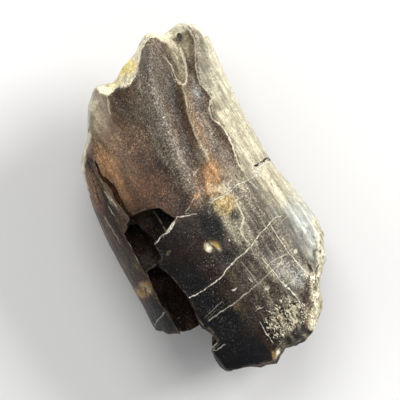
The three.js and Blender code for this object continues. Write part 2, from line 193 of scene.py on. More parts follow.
BASE_BREAK = (
    (6.35, -4.6), (6.2, -5), (6, -6), (5.6, -6.5), (5.3, -7), (4.9, -7.4), (4.3, -8),
    (4, -8.5), (3.45, -9.5), (3, -10), (2.5, -10.45), (2, -10.75), (1.4, -10.92),
    (0.7, -10.85), (0.05, -10.65), (-0.5, -10.85), (-0.9, -11.03), (-1.4, -10.9), (-2.5, -10.5),
    (-3.3, -10.2), (-3.9, -9.8), (-4.05, -9.4), (-4.05, -8.9), (-3.97, -8.25), (-3.4, -8),
    (-3.45, -7.5), (-3.6, -7), (-3.75, -6.85), (-4.5, -6.65), (-5, -6.45), (-5.8, -5.95),
    (-6.2, -5.6), (-6.5, -5.25), (-6.8, -5),
)
BREAK_INSET = (
    (-0.5, 1.1), (2, 0.55), (4.5, 0.15), (7, 0.1), (9, 0), (9.9, 0.1), (10.6, 0.4), (12, 0.5),
)
BREAK_MIDDLE = (0, -3)
BREAK_STEP = 0.15
BREAK_GRAINS = ((1.3, 0.3), (0.55, 0.11), (0.24, 0.05))
BREAK_CLEAN = ((7.5, 1), (9.3, 0.3))
BEYOND_BASE = ((-9, -5), (-9, -14), (9, -14), (9, -4.6))

WINDOW_LEDGE = {
    "outline": (
        (-4.35, 1.4), (-4.1, 0.9), (-3.9, 0.1), (-3.5, -0.56), (-2.5, -0.3), (-1.7, -0.05),
        (-1.35, 0.05), (-1.8, 0.8), (-2, 1.25), (-2.4, 1.32), (-3, 1.5), (-3.8, 1.6),
    ),
    "floor": 9.05, "roughness": 0.12, "rings": 26,
}
UPPER_WELL = {
    "outline": (
        (-4.85, 0.9), (-4.92, -0.4), (-5.02, -1.85), (-4.5, -1.85), (-3.7, -1.85), (-3.45, -1.5),
        (-3.45, -0.56), (-3.6, 0.3), (-3.72, 1.1), (-4.3, 1.32),
    ),
    "floor": 7.1, "roughness": 0.13, "rings": 22,
}
LOWER_WELL = {
    "outline": (
        (-5.02, -1.9), (-5.1, -3.5), (-5.15, -5), (-5.22, -7.4), (-3.55, -7.4), (-3.75, -6.5),
        (-3.5, -5.5), (-3.45, -4.7), (-3.58, -3.4), (-3.72, -2.5), (-3.95, -1.9), (-4.5, -1.84),
    ),
    "floor": 5.9, "roughness": 0.12,
}
SIDE_GAP = {
    "outline": (
        (-3.98, 1.3), (-4.03, 3), (-4.08, 4.3), (-4.02, 5.9), (-3.93, 5.9), (-3.92, 4.7),
        (-3.62, 4), (-3.66, 3.3), (-3.75, 2.4), (-3.72, 1.3),
    ),
    "floor": 9.2, "roughness": 0.12,
}
CRUMBLED_PATCH = {
    "outline": (
        (-0.12, -8.6), (-0.3, -9.3), (-0.2, -9.8), (0.2, -10), (0.6, -9.92), (1.2, -9.85),
        (1.8, -9.95), (2.1, -10.15), (2.35, -10), (2.6, -9.5), (2.45, -9), (2.3, -8.55),
        (1.9, -8.35), (1.5, -8.45), (0.9, -8.15), (0.55, -8.35), (0.1, -8.3),
    ),
    "floor": 10.1, "roughness": 0.13, "slope": 0.1, "rings": 34,
}
PIT_STEP = 0.13
PIT_RINGS = 9
PIT_GRAINS = ((0.9, 1), (0.3, 0.4))
# A pit's floor is rougher than its walls, which start just above it and end over the face.
PIT_FLOOR_ROUGHNESS = 1.6
WALL_START = 0.12
WALL_TOP = 11.2
CUTTER_TOP = 13

# The hollow that the window opens: (y, x, z, half width, half height) down to the base.
HOLLOW = (
    (-1.95, -4.2, 6.4, 0.6, 0.6), (-2.8, -3.95, 6.6, 1.05, 1.15),
    (-5, -3.75, 6.7, 1.3, 1.5), (-7.5, -3.2, 6.4, 1.4, 1.6), (-10, -2.4, 6.1, 1.5, 1.65),
    (-13, -1.9, 5.9, 1.5, 1.65),
)
HOLLOW_SIDES = 56
HOLLOW_STEP = 0.16
HOLLOW_GRAINS = ((1.4, 0.25), (0.5, 0.08), (0.2, 0.03))

# The chewing facet ground obliquely across the back of the tip.
FACET_FOOT = (4.2, 0.9)
FACET_ANGLE = 46
FACET_HOLLOW = 0.4
FACET_HOLLOW_WIDTH = 6
FACET_STEP = 0.16
FACET_GRAINS = ((1.6, 0.05), (0.5, 0.02), (0.22, 0.008))

# Small losses and the lobe at the foot: centre, radii, height of the centre above the face.
TIP_PIT = {"x": 4.9, "y": 9.8, "radii": (0.27, 0.33, 0.27), "lift": 0.12}
FACE_CHIP = {
    "outline": (
        (-0.95, -2.5), (-0.8, -2.2), (-0.52, -2.12), (-0.2, -2.26), (0, -2.48), (0.04, -2.8),
        (-0.06, -3.2), (-0.2, -3.24), (-0.36, -3), (-0.5, -2.84), (-0.62, -2.98), (-0.8, -3),
        (-0.93, -2.78),
    ),
    "floor": 10.8, "roughness": 0.05, "rings": 12,
}
BASE_NOTCH = {"x": 4.1, "y": -7.15, "radii": (0.14, 0.3, 0.28), "lift": 0.02}
BASE_LOBE = {"x": 1.2, "y": -10.35, "radii": (0.95, 0.5, 0.75), "lift": -0.5}
LUMP_GRAIN = (0.7, 0.3)

# ---- cracks and other lines, each with its strength and then its (x, y) points ----

CROSS_CRACKS = (
    (0.85, (-3.45, -0.58), (-3, -0.48), (-2.4, -0.3), (-1.7, -0.08), (-1.35, 0.08), (-0.9, -0.12),
     (-0.4, -0.3), (-0.15, -0.45)),
    (2, (0.85, -0.2), (1.2, -0.28), (1.6, -0.32), (2.4, -0.37), (3.05, -0.2), (3.45, -0.3),
     (3.8, -0.3), (4.2, -0.26), (4.5, -0.18), (4.9, 0.02), (5.3, 0), (5.7, -0.08)),
    (1.3, (-3.5, -4.7), (-2.5, -4.72), (-1.6, -4.68), (-1, -4.6), (-0.6, -4.42), (0, -4.3),
     (0.5, -4.18), (1, -4.1), (1.6, -4), (2.1, -3.8), (2.6, -3.6), (3.1, -3.45), (3.5, -3.33),
     (4, -3.3), (4.35, -3.37)),
    (0.45, (-3.2, -6.56), (-2, -6.52), (-1, -6.47), (-0.2, -6.4), (0.5, -6.28), (1, -6.2),
     (1.6, -6.05), (2.2, -5.97), (2.8, -5.93)),
    (0.2, (-3.35, -6.28), (-3, -6.22), (-2.2, -6.05), (-1.7, -5.94)),
    (0.6, (1.7, -5.7), (2.1, -5.5), (2.7, -5.52), (3.3, -5.55), (3.9, -5.5)),
    (0.3, (3.95, -3.78), (4.5, -3.62), (4.95, -3.52), (5.5, -3.44)),
    (0.4, (-6.4, -5.1), (-5.9, -4.85), (-5.25, -4.65)),
    (0.6, (0.83, 1.72), (1.2, 1.85), (1.55, 1.98)),
    (0.35, (-0.75, 0.08), (-0.3, 0.26), (0.05, 0.46), (0.5, 0.62)),
    (0.9, (-2.75, -0.48), (-2.2, -0.4), (-1.6, -0.16)),
    (0.6, (2.1, -7.15), (2.6, -7.3), (3, -7.15), (3.4, -6.95)),
    (1, (0.95, -6.6), (1.1, -6.85), (1.3, -6.75)),
    (0.6, (2.4, -8.5), (2, -8.6), (1.5, -8.45)),
    (0.5, (-4, -8.2), (-3.7, -8.12), (-3.4, -8.08)),
    (0.45, (-4, -8.22), (-3.72, -8.44), (-3.35, -8.42), (-3, -8.38)),
    (1.2, (-0.88, -5.7), (-0.74, -5.8), (-0.56, -5.76)),
    (1.1, (3.7, -5.82), (3.84, -5.7), (3.98, -5.68)),
    (0.8, (1.7, -5.62), (1.95, -5.55), (2.2, -5.52)),
    (0.6, (-0.3, -7.62), (0.05, -7.6), (0.3, -7.66)),
    (0.5, (-0.15, -7.35), (0.12, -7.38)),
    (2.2, (4.4, -0.12), (4.7, 0), (5, 0.05), (5.35, 0.02), (5.7, -0.14)),
    (1.2, (0.35, -8), (0.6, -8.3), (0.85, -8.5)),
)
LONG_CRACKS = (
    (1.1, (3.4, -3.5), (3.42, -4.5), (3.45, -5.6), (3.55, -6.4), (3.7, -7.1), (3.85, -7.6)),
    (1.1, (1.85, -4.9), (2, -6.2), (2.12, -7.1), (2.3, -7.8), (2.45, -8.5), (2.4, -9)),
    (0.8, (0.95, -8), (1, -8.8), (1.1, -9.4)),
    (0.6, (-2.46, 1.2), (-2.46, 0.4), (-2.42, -0.25)),
    (0.3, (0.62, -4.4), (0.7, -5.4), (0.75, -6.6)),
    (0.7, (-0.42, -8.3), (-0.45, -9.2), (-0.4, -10)),
    (0.4, (-4.78, 0.9), (-4.83, 0), (-4.95, -1.2)),
    (0.5, (2.2, 0.4), (2.28, -0.6), (2.2, -1.2)),
    (1.3, (0.46, -5.5), (0.48, -5.7), (0.5, -5.95)),
    (1.1, (3.62, -6.5), (3.72, -7.1), (3.9, -7.7)),
    (1.2, (2.16, -6.9), (2.32, -7.6), (2.46, -8.2)),
    (0.5, (3.8, 1.5), (3.7, 0.6), (3.72, -0.4), (3.95, -1.2)),
    (0.7, (1.6, -8.9), (1.62, -9.4), (1.7, -9.8)),
    (0.7, (-4.42, 3.9), (-4.38, 3.5), (-4.36, 3.1)),
    (0.6, (-4.26, 3.5), (-4.3, 3), (-4.28, 2.6)),
    (0.6, (-4.7, 3), (-4.74, 2.6), (-4.7, 2.2)),
    (0.35, (-5.3, 2.6), (-5.32, 1.6), (-5.38, 0.7)),
)
DARK_LINES = (
    (1, (-2.83, -8.35), (-2.78, -8.7), (-2.82, -9.05)),
    (3, (4.5, 0.24), (4.65, 0.17), (4.85, 0.2)),
    (3, (4.95, 0.22), (5.2, 0.2), (5.4, 0.25), (5.62, 0.2)),
    (0.3, (-4.98, 1), (-4.85, 0.2), (-5, -1.6)),
    (1, (-4.1, 6.2), (-4.02, 5.8), (-3.98, 5.2)),
    (0.7, (-4.6, 5.2), (-4.9, 3.9), (-5.05, 3.2)),
    (0.6, (3.7, 9.2), (3.62, 8.4), (3.5, 7.6)),
    (0.4, (-1.85, 0.8), (-1.6, 0.35), (-1.35, 0.1)),
    (3, (5.5, 0.14), (5.6, 0.05), (5.68, -0.05)),
    (1.2, (5.3, -6.5), (5.12, -6.78)),
    (0.8, (4.75, -7.15), (4.4, -7.5), (4.05, -7.9), (3.85, -8.2)),
    (0.5, (3.4, 9.9), (3.42, 9.2), (3.32, 8.3), (3.2, 7.5)),
    (0.8, (-4.45, 4.6), (-4.6, 3.6), (-4.55, 2.8)),
)
PALE_LINES = (
    (1.2, (5.55, 9.95), (5.65, 9.6), (5.6, 9.1), (5.3, 8.6), (5, 8.1), (4.75, 7.6), (4.55, 7.1),
     (4.35, 6.5), (4.45, 6.1), (4.55, 5.7), (4.6, 5.3), (4.2, 5.05), (3.95, 4.7), (3.88, 4.3),
     (4, 3.9), (4.1, 3.5), (4.1, 3), (4.05, 2.5), (3.9, 1.5), (3.75, 0.9), (3.7, 0.3)),
    (0.85, (3.4, 9.3), (3.4, 8.5), (3.3, 8), (3.25, 7.5), (3.35, 7.1), (3.5, 6.98), (3.8, 7.2),
     (4, 7.6), (4.3, 8.2), (4.5, 9), (4.6, 9.4)),
    (0.35, (3.3, 6.9), (3.1, 6.3), (2.9, 5.8), (2.65, 5.2), (2.5, 4.5), (2.4, 4), (2.35, 3.4),
     (2.3, 2.8), (2.25, 2.2)),
    (0.35, (-1.05, 9.2), (-1.25, 8.5), (-1.5, 7.8)),
    (0.8, (2.3, -0.6), (2.32, -1.4), (2.2, -2.2), (1.85, -2.55), (1.6, -2.75), (1.55, -3.3),
     (1.6, -3.9)),
    (0.4, (1.28, 8.9), (1.05, 8.4), (0.89, 7.9)),
    (0.35, (1.68, 9.9), (1.5, 9.4), (1.28, 8.9)),
    (0.7, (3.9, 7.3), (4.15, 7.9), (4.45, 8.7), (4.6, 9.3)),
)
LINE_REACH = 0.3
LINE_END = 0.15
CRACK_WOBBLE = ((0.6, 0.05), (0.2, 0.035))
LINES = {
    "cross_crack": CROSS_CRACKS, "long_crack": LONG_CRACKS, "pale_line": PALE_LINES,
    "dark_line": DARK_LINES,
}
# Cracks across which the face steps up or down, and by how many mm; the step fades out over
# STEP_REACH from the crack.
STEPPED_CRACKS = ((CROSS_CRACKS[2], 0.035), (CROSS_CRACKS[3], 0.02), (LONG_CRACKS[0], 0.03))
STEP_REACH = (0.25, 1.1)
STEP_WIDTH = 0.06

# ---- places of the paint ----

# The wavy edge of the pale flank and two more lines along the tooth, as (y, x) pairs.
FLANK_LINE = (
    (-12, 3.7), (-8, 4.3), (-6, 4.15), (-4, 3.95), (-3, 3.6), (-1, 3.4), (0, 3.65), (1.5, 3.95),
    (2.5, 4.1), (3.5, 4.15), (4.3, 3.95), (5.05, 4.25), (5.5, 4.6), (6.5, 4.4), (7.6, 4.8),
    (8.6, 5.35), (9.6, 5.7), (11, 5.6),
)
LOW_DARK_VALLEY = ((0.5, -0.7), (2.5, -0.6), (4, -0.55), (5.4, -0.4))
SECOND_RIDGE = ((0, 2.1), (2.2, 2.35), (4, 2.6), (5.2, 2.85), (6.3, 3.2), (7, 3.45))
# Bands along the ridges: colour, crest, half widths left and right, (y, strength) pairs.
BANDS = (
    # Warm grey and bone on the left lobe: partly its own colour, partly painted sheen, with a painted
    # highlight along its top.
    ("warm_grey", LEFT_LOBE["crest"], 1.5, 1.1, ((3, 0), (6, 0.4), (8, 0.85), (10, 1))),
    ("bone", LEFT_LOBE["crest"], 0.9, 0.75, ((7.4, 0), (8.4, 0.45), (9.2, 0.9), (9.8, 1))),
    # Umber along the valleys: partly their own dark colour, partly painted shade.
    ("umber", WIDE_VALLEY["crest"], 0.6, 0.6, ((5, 0.1), (7, 0.4), (8.3, 0.95), (9.5, 1))),
    ("umber", LOW_DARK_VALLEY, 0.6, 0.35, ((0.6, 0.5), (2, 0.95), (4, 0.95), (5.4, 0.2), (6, 0))),
    # Painted sheen: the silver band where the main ridge catches the light.
    ("silver", MAIN_RIDGE["crest"], 1.1, 0.65,
     ((0, 0.2), (1.2, 0.75), (4, 1), (7, 1), (8.6, 0.75), (10.2, 0.1))),
    # Slate grey in the dark valley beside the main ridge: partly painted shade.
    ("slate_grey", DARK_VALLEY["crest"], 0.4, 0.42,
     ((0.4, 0), (2, 0.4), (5, 0.55), (7, 0.8), (8.2, 0.5), (9.4, 0))),
    ("tan", SECOND_RIDGE, 0.25, 0.4, ((0.5, 0), (2, 0.6), (5, 0.7), (6.6, 0.6), (7.2, 0))),
    ("khaki", SECOND_RIDGE, 0.2, 0.25, ((0.5, 0), (2, 0.2), (5, 0.4), (6.6, 0.2), (7.2, 0))),
    ("mauve", INNER_VALLEY["crest"], 0.6, 0.6, ((-0.5, 0.3), (2, 0.8), (7, 0.8), (8, 0.2))),
    ("bone", LOW_SWELL["crest"], 0.22, 0.25,
     ((-9, 0), (-7, 0.15), (-4, 0.3), (-1, 0.45), (0.5, 0))),
    ("bone", OUTER_SWELL["crest"], 0.2, 0.25, ((-9, 0), (-6, 0.3), (-3, 0.25), (0, 0.1))),
)

# Stains: colour, centre x, y, half width, half length, strength, softness, lean (x for each y).
# The softness is 0.9 and the lean 0 where a stain doesn't give them.
STAINS = (
    ("orange_tan", -3.45, 5.4, 0.65, 1.5, 0.85),
    ("orange_tan", -3.4, 3.4, 0.35, 1.4, 0.45),
    ("tan", -2.5, 6.3, 0.9, 0.8, 0.4),
    # Painted highlight on the top of the left lobe.
    ("cream", -2.1, 9.05, 0.35, 0.5, 0.5, 0.8, 0.5),
    ("bone", -2.6, 7.6, 0.5, 0.8, 0.3, 0.9, 0.2),
    # Painted sheen on the left lobe.
    ("silver", -1.5, 8.8, 0.28, 1, 0.8, 0.8, 0.15),
    ("red_brown", -1.6, 3.4, 0.7, 1.4, 0.45, 0.9, -0.1),
    ("umber", -2.6, 1.9, 1.6, 1.1, 0.6),
    ("umber", -1.1, 2, 1.25, 2.2, 0.85, 0.8),
    ("maroon", -1.4, 2.2, 1.2, 2.4, 0.45),
    ("bitumen", -0.5, 3.7, 0.3, 1.2, 0.5, 0.7, 0.1),
    ("red_brown", -1.8, 1.9, 1.4, 1.9, 0.55),
    ("umber", -1.3, 7.2, 0.5, 1.6, 0.3, 0.9, 0.1),
    # The silver stains along the main ridge, from here towards the tip, are painted sheen.
    ("silver", 0.3, 7.2, 0.55, 1.3, 0.4, 0.9, 0.2),
    ("tan", -0.35, 5.4, 0.5, 1.3, 0.4, 0.9, 0.1),
    ("silver", 0.45, 5.2, 0.6, 2.4, 0.85, 0.4, 0.12),
    ("grey_brown", -0.4, 6.9, 0.6, 1, 0.4, 0.9, 0.1),
    ("silver", 2.1, 8.9, 0.9, 1.6, 0.5, 0.8, 0.3),
    ("silver", 1.15, 8, 0.45, 1.2, 0.7, 0.9, 0.4),
    # Slate grey beside the dark valley: partly painted shade.
    ("slate_grey", 2.55, 7.1, 0.4, 0.9, 0.5, 0.9, 0.2),
    ("slate_grey", 2.1, 7.8, 0.9, 2.6, 0.4, 0.9, 0.35),
    ("silver", 2.3, 8.4, 1, 2.4, 0.4, 0.9, 0.35),
    ("mauve", 3.4, 9.9, 0.25, 0.7, 0.6, 0.8),
    ("khaki", 3.85, 8.6, 0.5, 1.7, 0.95, 0.4, 0.3),
    ("bone", 3.9, 8.8, 0.22, 1.2, 0.5, 0.8, 0.3),
    ("umber", 3.5, 9, 0.13, 1.2, 0.6, 0.7, 0.12),
    ("khaki", 5, 9.1, 0.45, 1, 0.95, 0.6, 0.3),
    ("bone", 5, 8.9, 0.3, 0.8, 0.3, 0.8, 0.3),
    ("silver", 3.6, 6.2, 0.3, 0.5, 0.5, 0.8),
    ("pale_blue", 3.95, 6.1, 0.3, 0.55, 0.5, 0.9, 0.1),
    ("bone", 4.2, 6.7, 0.14, 0.6, 0.4, 0.9, 0.1),
    ("slate_grey", 3.6, 5.2, 0.3, 0.7, 0.45, 0.9, 0.1),
    ("umber", 4.3, 7.7, 0.15, 0.7, 0.4, 0.8, 0.4),
    ("bone", 4.1, 7.85, 0.2, 0.5, 0.4, 0.9, 0.3),
    ("brown", 3.7, 8.6, 0.25, 1.3, 0.4, 0.8, 0.3),
    ("cream", 3.95, 10.2, 0.3, 0.4, 0.95, 0.5, -0.4),
    ("cream", 4.2, 9.65, 0.22, 0.5, 0.75, 0.8, -0.25),
    ("orange_tan", 2.75, 4, 0.35, 0.9, 0.2, 0.9, 0.2),
    ("cream", 2.1, 2.6, 0.35, 0.9, 0.3, 0.9, 0.1),
    ("tan", 1.7, 1, 1.3, 1.2, 0.8, 0.5, 0.25),
    ("rust", 1.95, 1.15, 0.5, 1.1, 0.8, 0.7, 0.35),
    ("orange_tan", 2.25, 0.95, 0.25, 0.3, 0.6, 0.8, 0.3),
    ("rust", 1.35, 0.5, 0.35, 0.35, 0.8, 0.7, 0.4),
    ("ochre", 1.85, 0.25, 0.7, 0.4, 0.5, 0.9, 0.2),
    ("cream", 1.95, 0.2, 0.6, 0.28, 0.35, 0.9, 0.3),
    ("rust", 0.4, 0.5, 0.24, 0.2, 0.8, 0.6, 0.3),
    ("maroon", -0.9, 0.4, 1, 0.6, 0.7, 0.8),
    ("tan", 0.1, 0.35, 0.6, 0.3, 0.35, 0.8, 0.3),
    ("bone", 2.4, -0.15, 1.4, 0.16, 0.35),
    ("slate_grey", 4.05, 0.5, 0.14, 0.9, 0.6, 0.8),
    ("mauve", 3.2, -1.5, 0.6, 1.4, 0.55),
    ("bone", 3.35, -0.3, 0.45, 2.2, 0.4),
    ("bone", 2.75, 0.3, 0.35, 1.2, 0.3),
    ("bone", 1.4, -1.8, 0.5, 1.3, 0.4, 0.8, -0.1),
    ("bone", 1.9, -1.8, 0.45, 1.3, 0.35),
    ("cream", 1.15, -2.7, 0.28, 1.5, 0.45, 0.9, -0.08),
    ("ochre", 1.65, -0.8, 0.75, 0.85, 0.8, 0.6, 0.1),
    ("orange_tan", 1.9, -0.7, 0.5, 0.5, 0.5, 0.8, 0.1),
    ("yellow_cream", 1.65, -0.75, 0.75, 0.65, 0.35, 0.9, 0.1),
    ("slate", 1.8, -1.75, 0.32, 0.38, 0.8, 0.6),
    ("slate_grey", 2.3, -2.6, 0.5, 1, 0.45, 0.8),
    ("maroon", -1.9, -1.5, 1.3, 1.4, 0.95, 0.5),
    ("bitumen", -2.8, -1.2, 0.9, 0.9, 0.6, 0.8),
    ("bitumen", -1.5, -1, 1.1, 0.9, 0.7),
    ("bitumen", -3.2, 1.65, 0.9, 0.35, 0.5),
    ("maroon", -1.3, -3, 0.75, 1.9, 0.85, 0.6, 0.12),
    ("slate", 0.15, -1.7, 0.75, 1.5, 0.97, 0.4, 0.1),
    ("slate", -2.75, -3.8, 0.75, 0.9, 0.9, 0.7),
    ("slate", 0.2, -3.7, 0.7, 0.6, 0.75, 0.7),
    ("slate", -2.7, -5.4, 0.95, 0.9, 0.95, 0.5),
    ("umber", -0.9, -5.4, 0.75, 0.9, 0.6, 0.7, 0.1),
    ("bitumen", -1.4, -4.9, 1.3, 0.5, 0.5),
    ("olive", -0.35, -5.2, 0.3, 0.5, 0.6, 0.8),
    ("grey_brown", -0.3, -6, 0.55, 0.8, 0.5),
    ("umber", 0.4, -4.7, 0.4, 0.8, 0.4),
    ("tan", -1.15, -6.75, 0.25, 0.25, 0.4),
    ("slate", -2.6, -7.4, 1.4, 1.1, 0.95, 0.5),
    ("olive", -1, -7, 0.35, 0.6, 0.55),
    ("khaki", -3, -1.55, 0.17, 0.12, 0.7, 0.8, 0.6),
    ("slate", -2.2, -9.7, 1.9, 1.35, 0.95, 0.4),
    ("umber", -0.6, -9.4, 0.45, 1.8, 0.85, 0.7),
    ("bitumen", -0.4, -8.7, 0.4, 1.6, 0.7, 0.8),
    ("ochre", -0.85, -10.7, 0.1, 0.4, 0.8, 0.6, 0.25),
    ("cream", -0.55, -10.75, 0.2, 0.35, 0.9, 0.6, 0.4),
    ("slate_grey", 2.6, -4.7, 0.7, 0.9, 0.7),
    ("umber", 2.6, -2.2, 0.6, 1.4, 0.3),
    ("slate_grey", 1.4, 3.3, 0.3, 1, 0.35, 0.9, 0.1),
    ("umber", 1.5, 2.3, 0.5, 0.8, 0.35, 0.9, 0.1),
    ("slate_grey", 1.1, -4.9, 0.5, 1, 0.4),
    ("umber", 0.9, -7.2, 0.8, 0.8, 0.45),
    ("silver", 2.9, -6.75, 0.95, 1.35, 0.8, 0.5),
    ("pale_blue", 3.05, -7.3, 0.65, 0.55, 0.45, 0.8, 0.3),
    ("pale_blue", 2.8, -6.4, 0.75, 1, 0.3),
    ("slate_grey", 2.35, -7.6, 0.25, 0.6, 0.5, 0.8, 0.1),
    ("umber", 2.85, -8.6, 0.36, 0.5, 0.9, 0.5),
    ("umber", 4.3, -7.2, 0.22, 0.35, 0.75, 0.6),
    ("cream", 3.82, -7.65, 0.14, 0.5, 0.8, 0.7, -0.3),
    ("bone", 4.9, -6.3, 0.6, 0.35, 0.5, 0.9, 0.6),
    ("slate", 1.25, -10.4, 1, 0.55, 0.9, 0.3),
    ("grey_brown", 0.05, -10.4, 0.4, 0.35, 0.6, 0.6),
    ("slate_grey", 1, -10.55, 0.5, 0.2, 0.5),
    ("cream", -0.72, -5.77, 0.12, 0.08, 0.9, 0.5),
    ("cream", 2.62, -5.9, 0.2, 0.1, 0.7, 0.8, 0.3),
    ("cream", 3.84, -5.74, 0.13, 0.1, 0.9, 0.5, 0.2),
    ("cream", 0.68, -2.9, 0.09, 0.07, 0.9, 0.5),
    ("cream", 1.05, -6.75, 0.12, 0.1, 0.6, 0.8, 1),
)
# Stains of the side strip left of the gap and of the pale right flank.
STRIP_STAINS = (
    ("pink_brown", -5.35, 4.3, 0.45, 1.9, 0.95, 0.6, 0.12),
    ("tan", -4.75, 4.7, 0.3, 1, 0.85, 0.8, 0.1),
    ("tan", -4.2, 3.7, 0.16, 1.9, 0.6),
    ("bone", -4.33, 3.2, 0.1, 0.8, 0.4, 0.8),
    ("pink_brown", -5.85, 1.6, 0.3, 1.4, 0.6, 0.8, 0.05),
    ("tan", -5.3, 1.7, 0.07, 1.1, 0.6, 0.9, 0.03),
    ("maroon", -5.4, 1.4, 0.9, 1.8, 0.4),
    ("bitumen", -5.3, -0.6, 0.9, 1.4, 0.3),
    ("olive", -5.2, -0.8, 0.4, 1.2, 0.3),
    ("ochre", -5.8, -2.75, 0.75, 0.5, 0.95, 0.5, 0.15),
    ("bone", -5.45, -2.75, 0.14, 0.4, 0.55, 0.7, -0.25),
    ("umber", -5.6, -2.9, 0.08, 0.35, 0.8, 0.6, 0.4),
    ("umber", -5.9, -2.4, 0.1, 0.25, 0.5, 0.8, -0.3),
    ("slate", -5.8, -4.9, 1.3, 1.4, 0.95, 0.5),
)
FLANK_STAINS = (
    ("khaki", 5.15, 8.1, 0.25, 1.6, 0.5, 0.8, 0.3),
    ("tan", 5.25, 8.1, 0.2, 1.7, 0.75, 0.7, 0.42),
    # Painted shade in the flank's grooves: this khaki and the two grey browns below it.
    ("khaki", 5.7, 8.2, 0.32, 1.3, 0.9, 0.7, 0.35),
    ("grey_brown", 5, 7.1, 0.15, 0.9, 0.75, 0.7, 0.25),
    ("grey_brown", 5.85, 8.7, 0.12, 0.8, 0.4, 0.9, 0.35),
    ("khaki", 4.5, 4.75, 0.3, 0.4, 0.85, 0.6),
    # Painted shade in the groove beside the raised edge.
    ("khaki", 4.85, 6.35, 0.26, 0.6, 0.85, 0.7, 0.1),
    ("khaki", 5.05, 0.45, 0.8, 0.3, 0.45),
    ("khaki", 6.1, 8.7, 0.25, 1, 0.5, 0.8),
    ("khaki", 5.1, 3.9, 0.3, 1.6, 0.4, 0.9, 0.05),
    ("khaki", 4.7, 1.9, 0.2, 1.2, 0.45, 0.8),
    ("grey_brown", 4.15, 0.7, 0.25, 0.9, 0.65, 0.7),
    ("grey_brown", 4.25, -0.9, 0.25, 0.9, 0.3, 0.8),
    ("tan", 4.3, -2.2, 0.35, 2.2, 0.35),
    ("khaki", 5.3, -1.6, 0.3, 1.6, 0.5),
    ("silver", 4.75, -4.7, 0.3, 1.4, 0.55, 0.8),
    ("pale_blue", 5.2, -4.2, 0.6, 1.4, 0.9, 0.8),
    ("silver", 5.45, -4, 0.15, 1.2, 0.4, 0.8),
)
# Rims seen from above: reach in mm, colour, strength, then (x, y) points. The first six, round the tip, are
# partly pale from wear and partly painted highlight where the edges catch the light; the last three are the
# pale broken face at the base.
WORN_AND_LIT_RIMS = (
    (0.38, "cream", 0.95, (-3.5, 7.45), (-3.65, 7.35), (-4.2, 6.95), (-4.6, 6.5), (-4.9, 6)),
    (0.14, "crack", 0.7, (-4.9, 6), (-5.2, 5.1), (-5.45, 4.3)),
    (0.15, "crack", 0.8, (-3.2, 8), (-2.5, 9.05), (-2, 9.5), (-1.6, 9.82), (-1.3, 9.88),
     (-1, 9.85)),
    (0.24, "crack", 0.95, (1.2, 10.22), (2, 10.45), (2.6, 10.95), (3.1, 11.13)),
    (0.34, "crack", 0.95, (3.1, 11.13), (3.6, 10.9), (4, 10.5), (4.25, 10.43), (5.2, 10.53),
     (5.8, 10.25), (6.2, 9.85), (6.4, 9.2)),
    (0.38, "cream", 1, (4.3, 10.25), (4.9, 10.2), (5.4, 10.15)),
    (0.6, "tan", 0.8, (4.05, -7.8), (3.45, -8.8), (2.95, -9.6), (2.4, -10.15)),
    (0.48, "cream", 0.8, (4.05, -7.8), (3.55, -8.8), (3, -9.7), (2.4, -10.25)),
    (0.4, "cream", 0.75, (6.05, -4.9), (5.7, -6), (4.7, -7.3), (4.1, -8.2), (3.35, -9.5),
     (2.4, -10.4)),
)
TIP_RIMS = WORN_AND_LIT_RIMS[:6]
BASE_RIM = WORN_AND_LIT_RIMS[8]
# Bright spots on the floor of the chip in the face.
CHIP_SPOTS = (
    ("cream", -0.68, -2.6, 0.3, 0.32, 0.9, 0.7, 0.2),
    ("crack", -0.74, -2.75, 0.2, 0.2, 1, 0.6, 0.2),
    ("yellow_cream", -0.2, -2.8, 0.2, 0.4, 0.7, 0.8, -0.3),
    ("crack", -0.14, -3.1, 0.13, 0.16, 1, 0.6, -0.2),
)
# Patches that only say where, given like stains without a colour.
MOTTLED = (1.75, -0.2, 1.5, 1.1, 1, 0.6, 0.2)
SCRATCHED = (1.5, -7.4, 1.7, 1.9, 0.6, 0.8)
YELLOW_TIP = (0.95, 9.85, 0.65, 0.5, 0.95, 0.6)
POROUS_RIM = (4.3, -7.9, 1.2, 2.4, 1, 0.4, 0.75)
GREY_CORNER = (-4.5, -1.35, 0.5, 0.5, 1, 0.8)
OLIVE_LEDGE = (-3.1, 1.15, 0.8, 0.5, 1)

# Noise of the paint as (size in mm, strength) pairs.
BLOTCHES = ((1.6, 0.5), (0.6, 0.35), (0.25, 0.25))
DAPPLE = ((0.3, 0.55), (0.15, 0.5))
FIBRES = ((0.42, 0.5), (0.2, 0.45), (0.11, 0.35))
STAIN_EDGE = ((0.9, 0.22), (0.35, 0.13), (0.14, 0.07))
SCRATCHES = ((0.11, 0.7), (0.25, 0.5))
BREAK_CLOUDS = ((0.9, 0.6), (0.35, 0.4))
BREAK_SPECKS = ((0.2, 0.6), (0.11, 0.5))
BREAK_HOLES = ((0.5, 0.6), (0.2, 0.5))
CRUMBLE_STROKES = ((0.2, 0.5), (0.1, 0.65))

# How strong the flecks are along the main ridge, as (y, share) pairs. There they are mostly painted glints
# of its sheen.
FLECKED_RIDGE = ((0, 0.3), (2, 1), (9, 0.8), (10, 0))
# Where the sandy contrast is weaker: x, y, half width, half length, how much.
SMOOTHER = (
    (-2.2, 8.5, 1.3, 2.2, 0.65), (-3.1, 4.5, 1.4, 2.6, 0.35), (2, 1.1, 0.8, 1.2, 0.4),
    (-2.3, -9.6, 1.9, 1.4, 0.3), (0.9, 9.9, 1.8, 0.9, 0.75), (1.2, -10.4, 1.2, 0.6, 0.5),
    (2.5, 8.8, 1, 2.2, 0.3), (3.9, 8.8, 0.8, 1.9, 0.4), (5, 9.2, 0.5, 1, 0.4),
    (1.8, -0.8, 0.8, 0.8, 0.3),
)
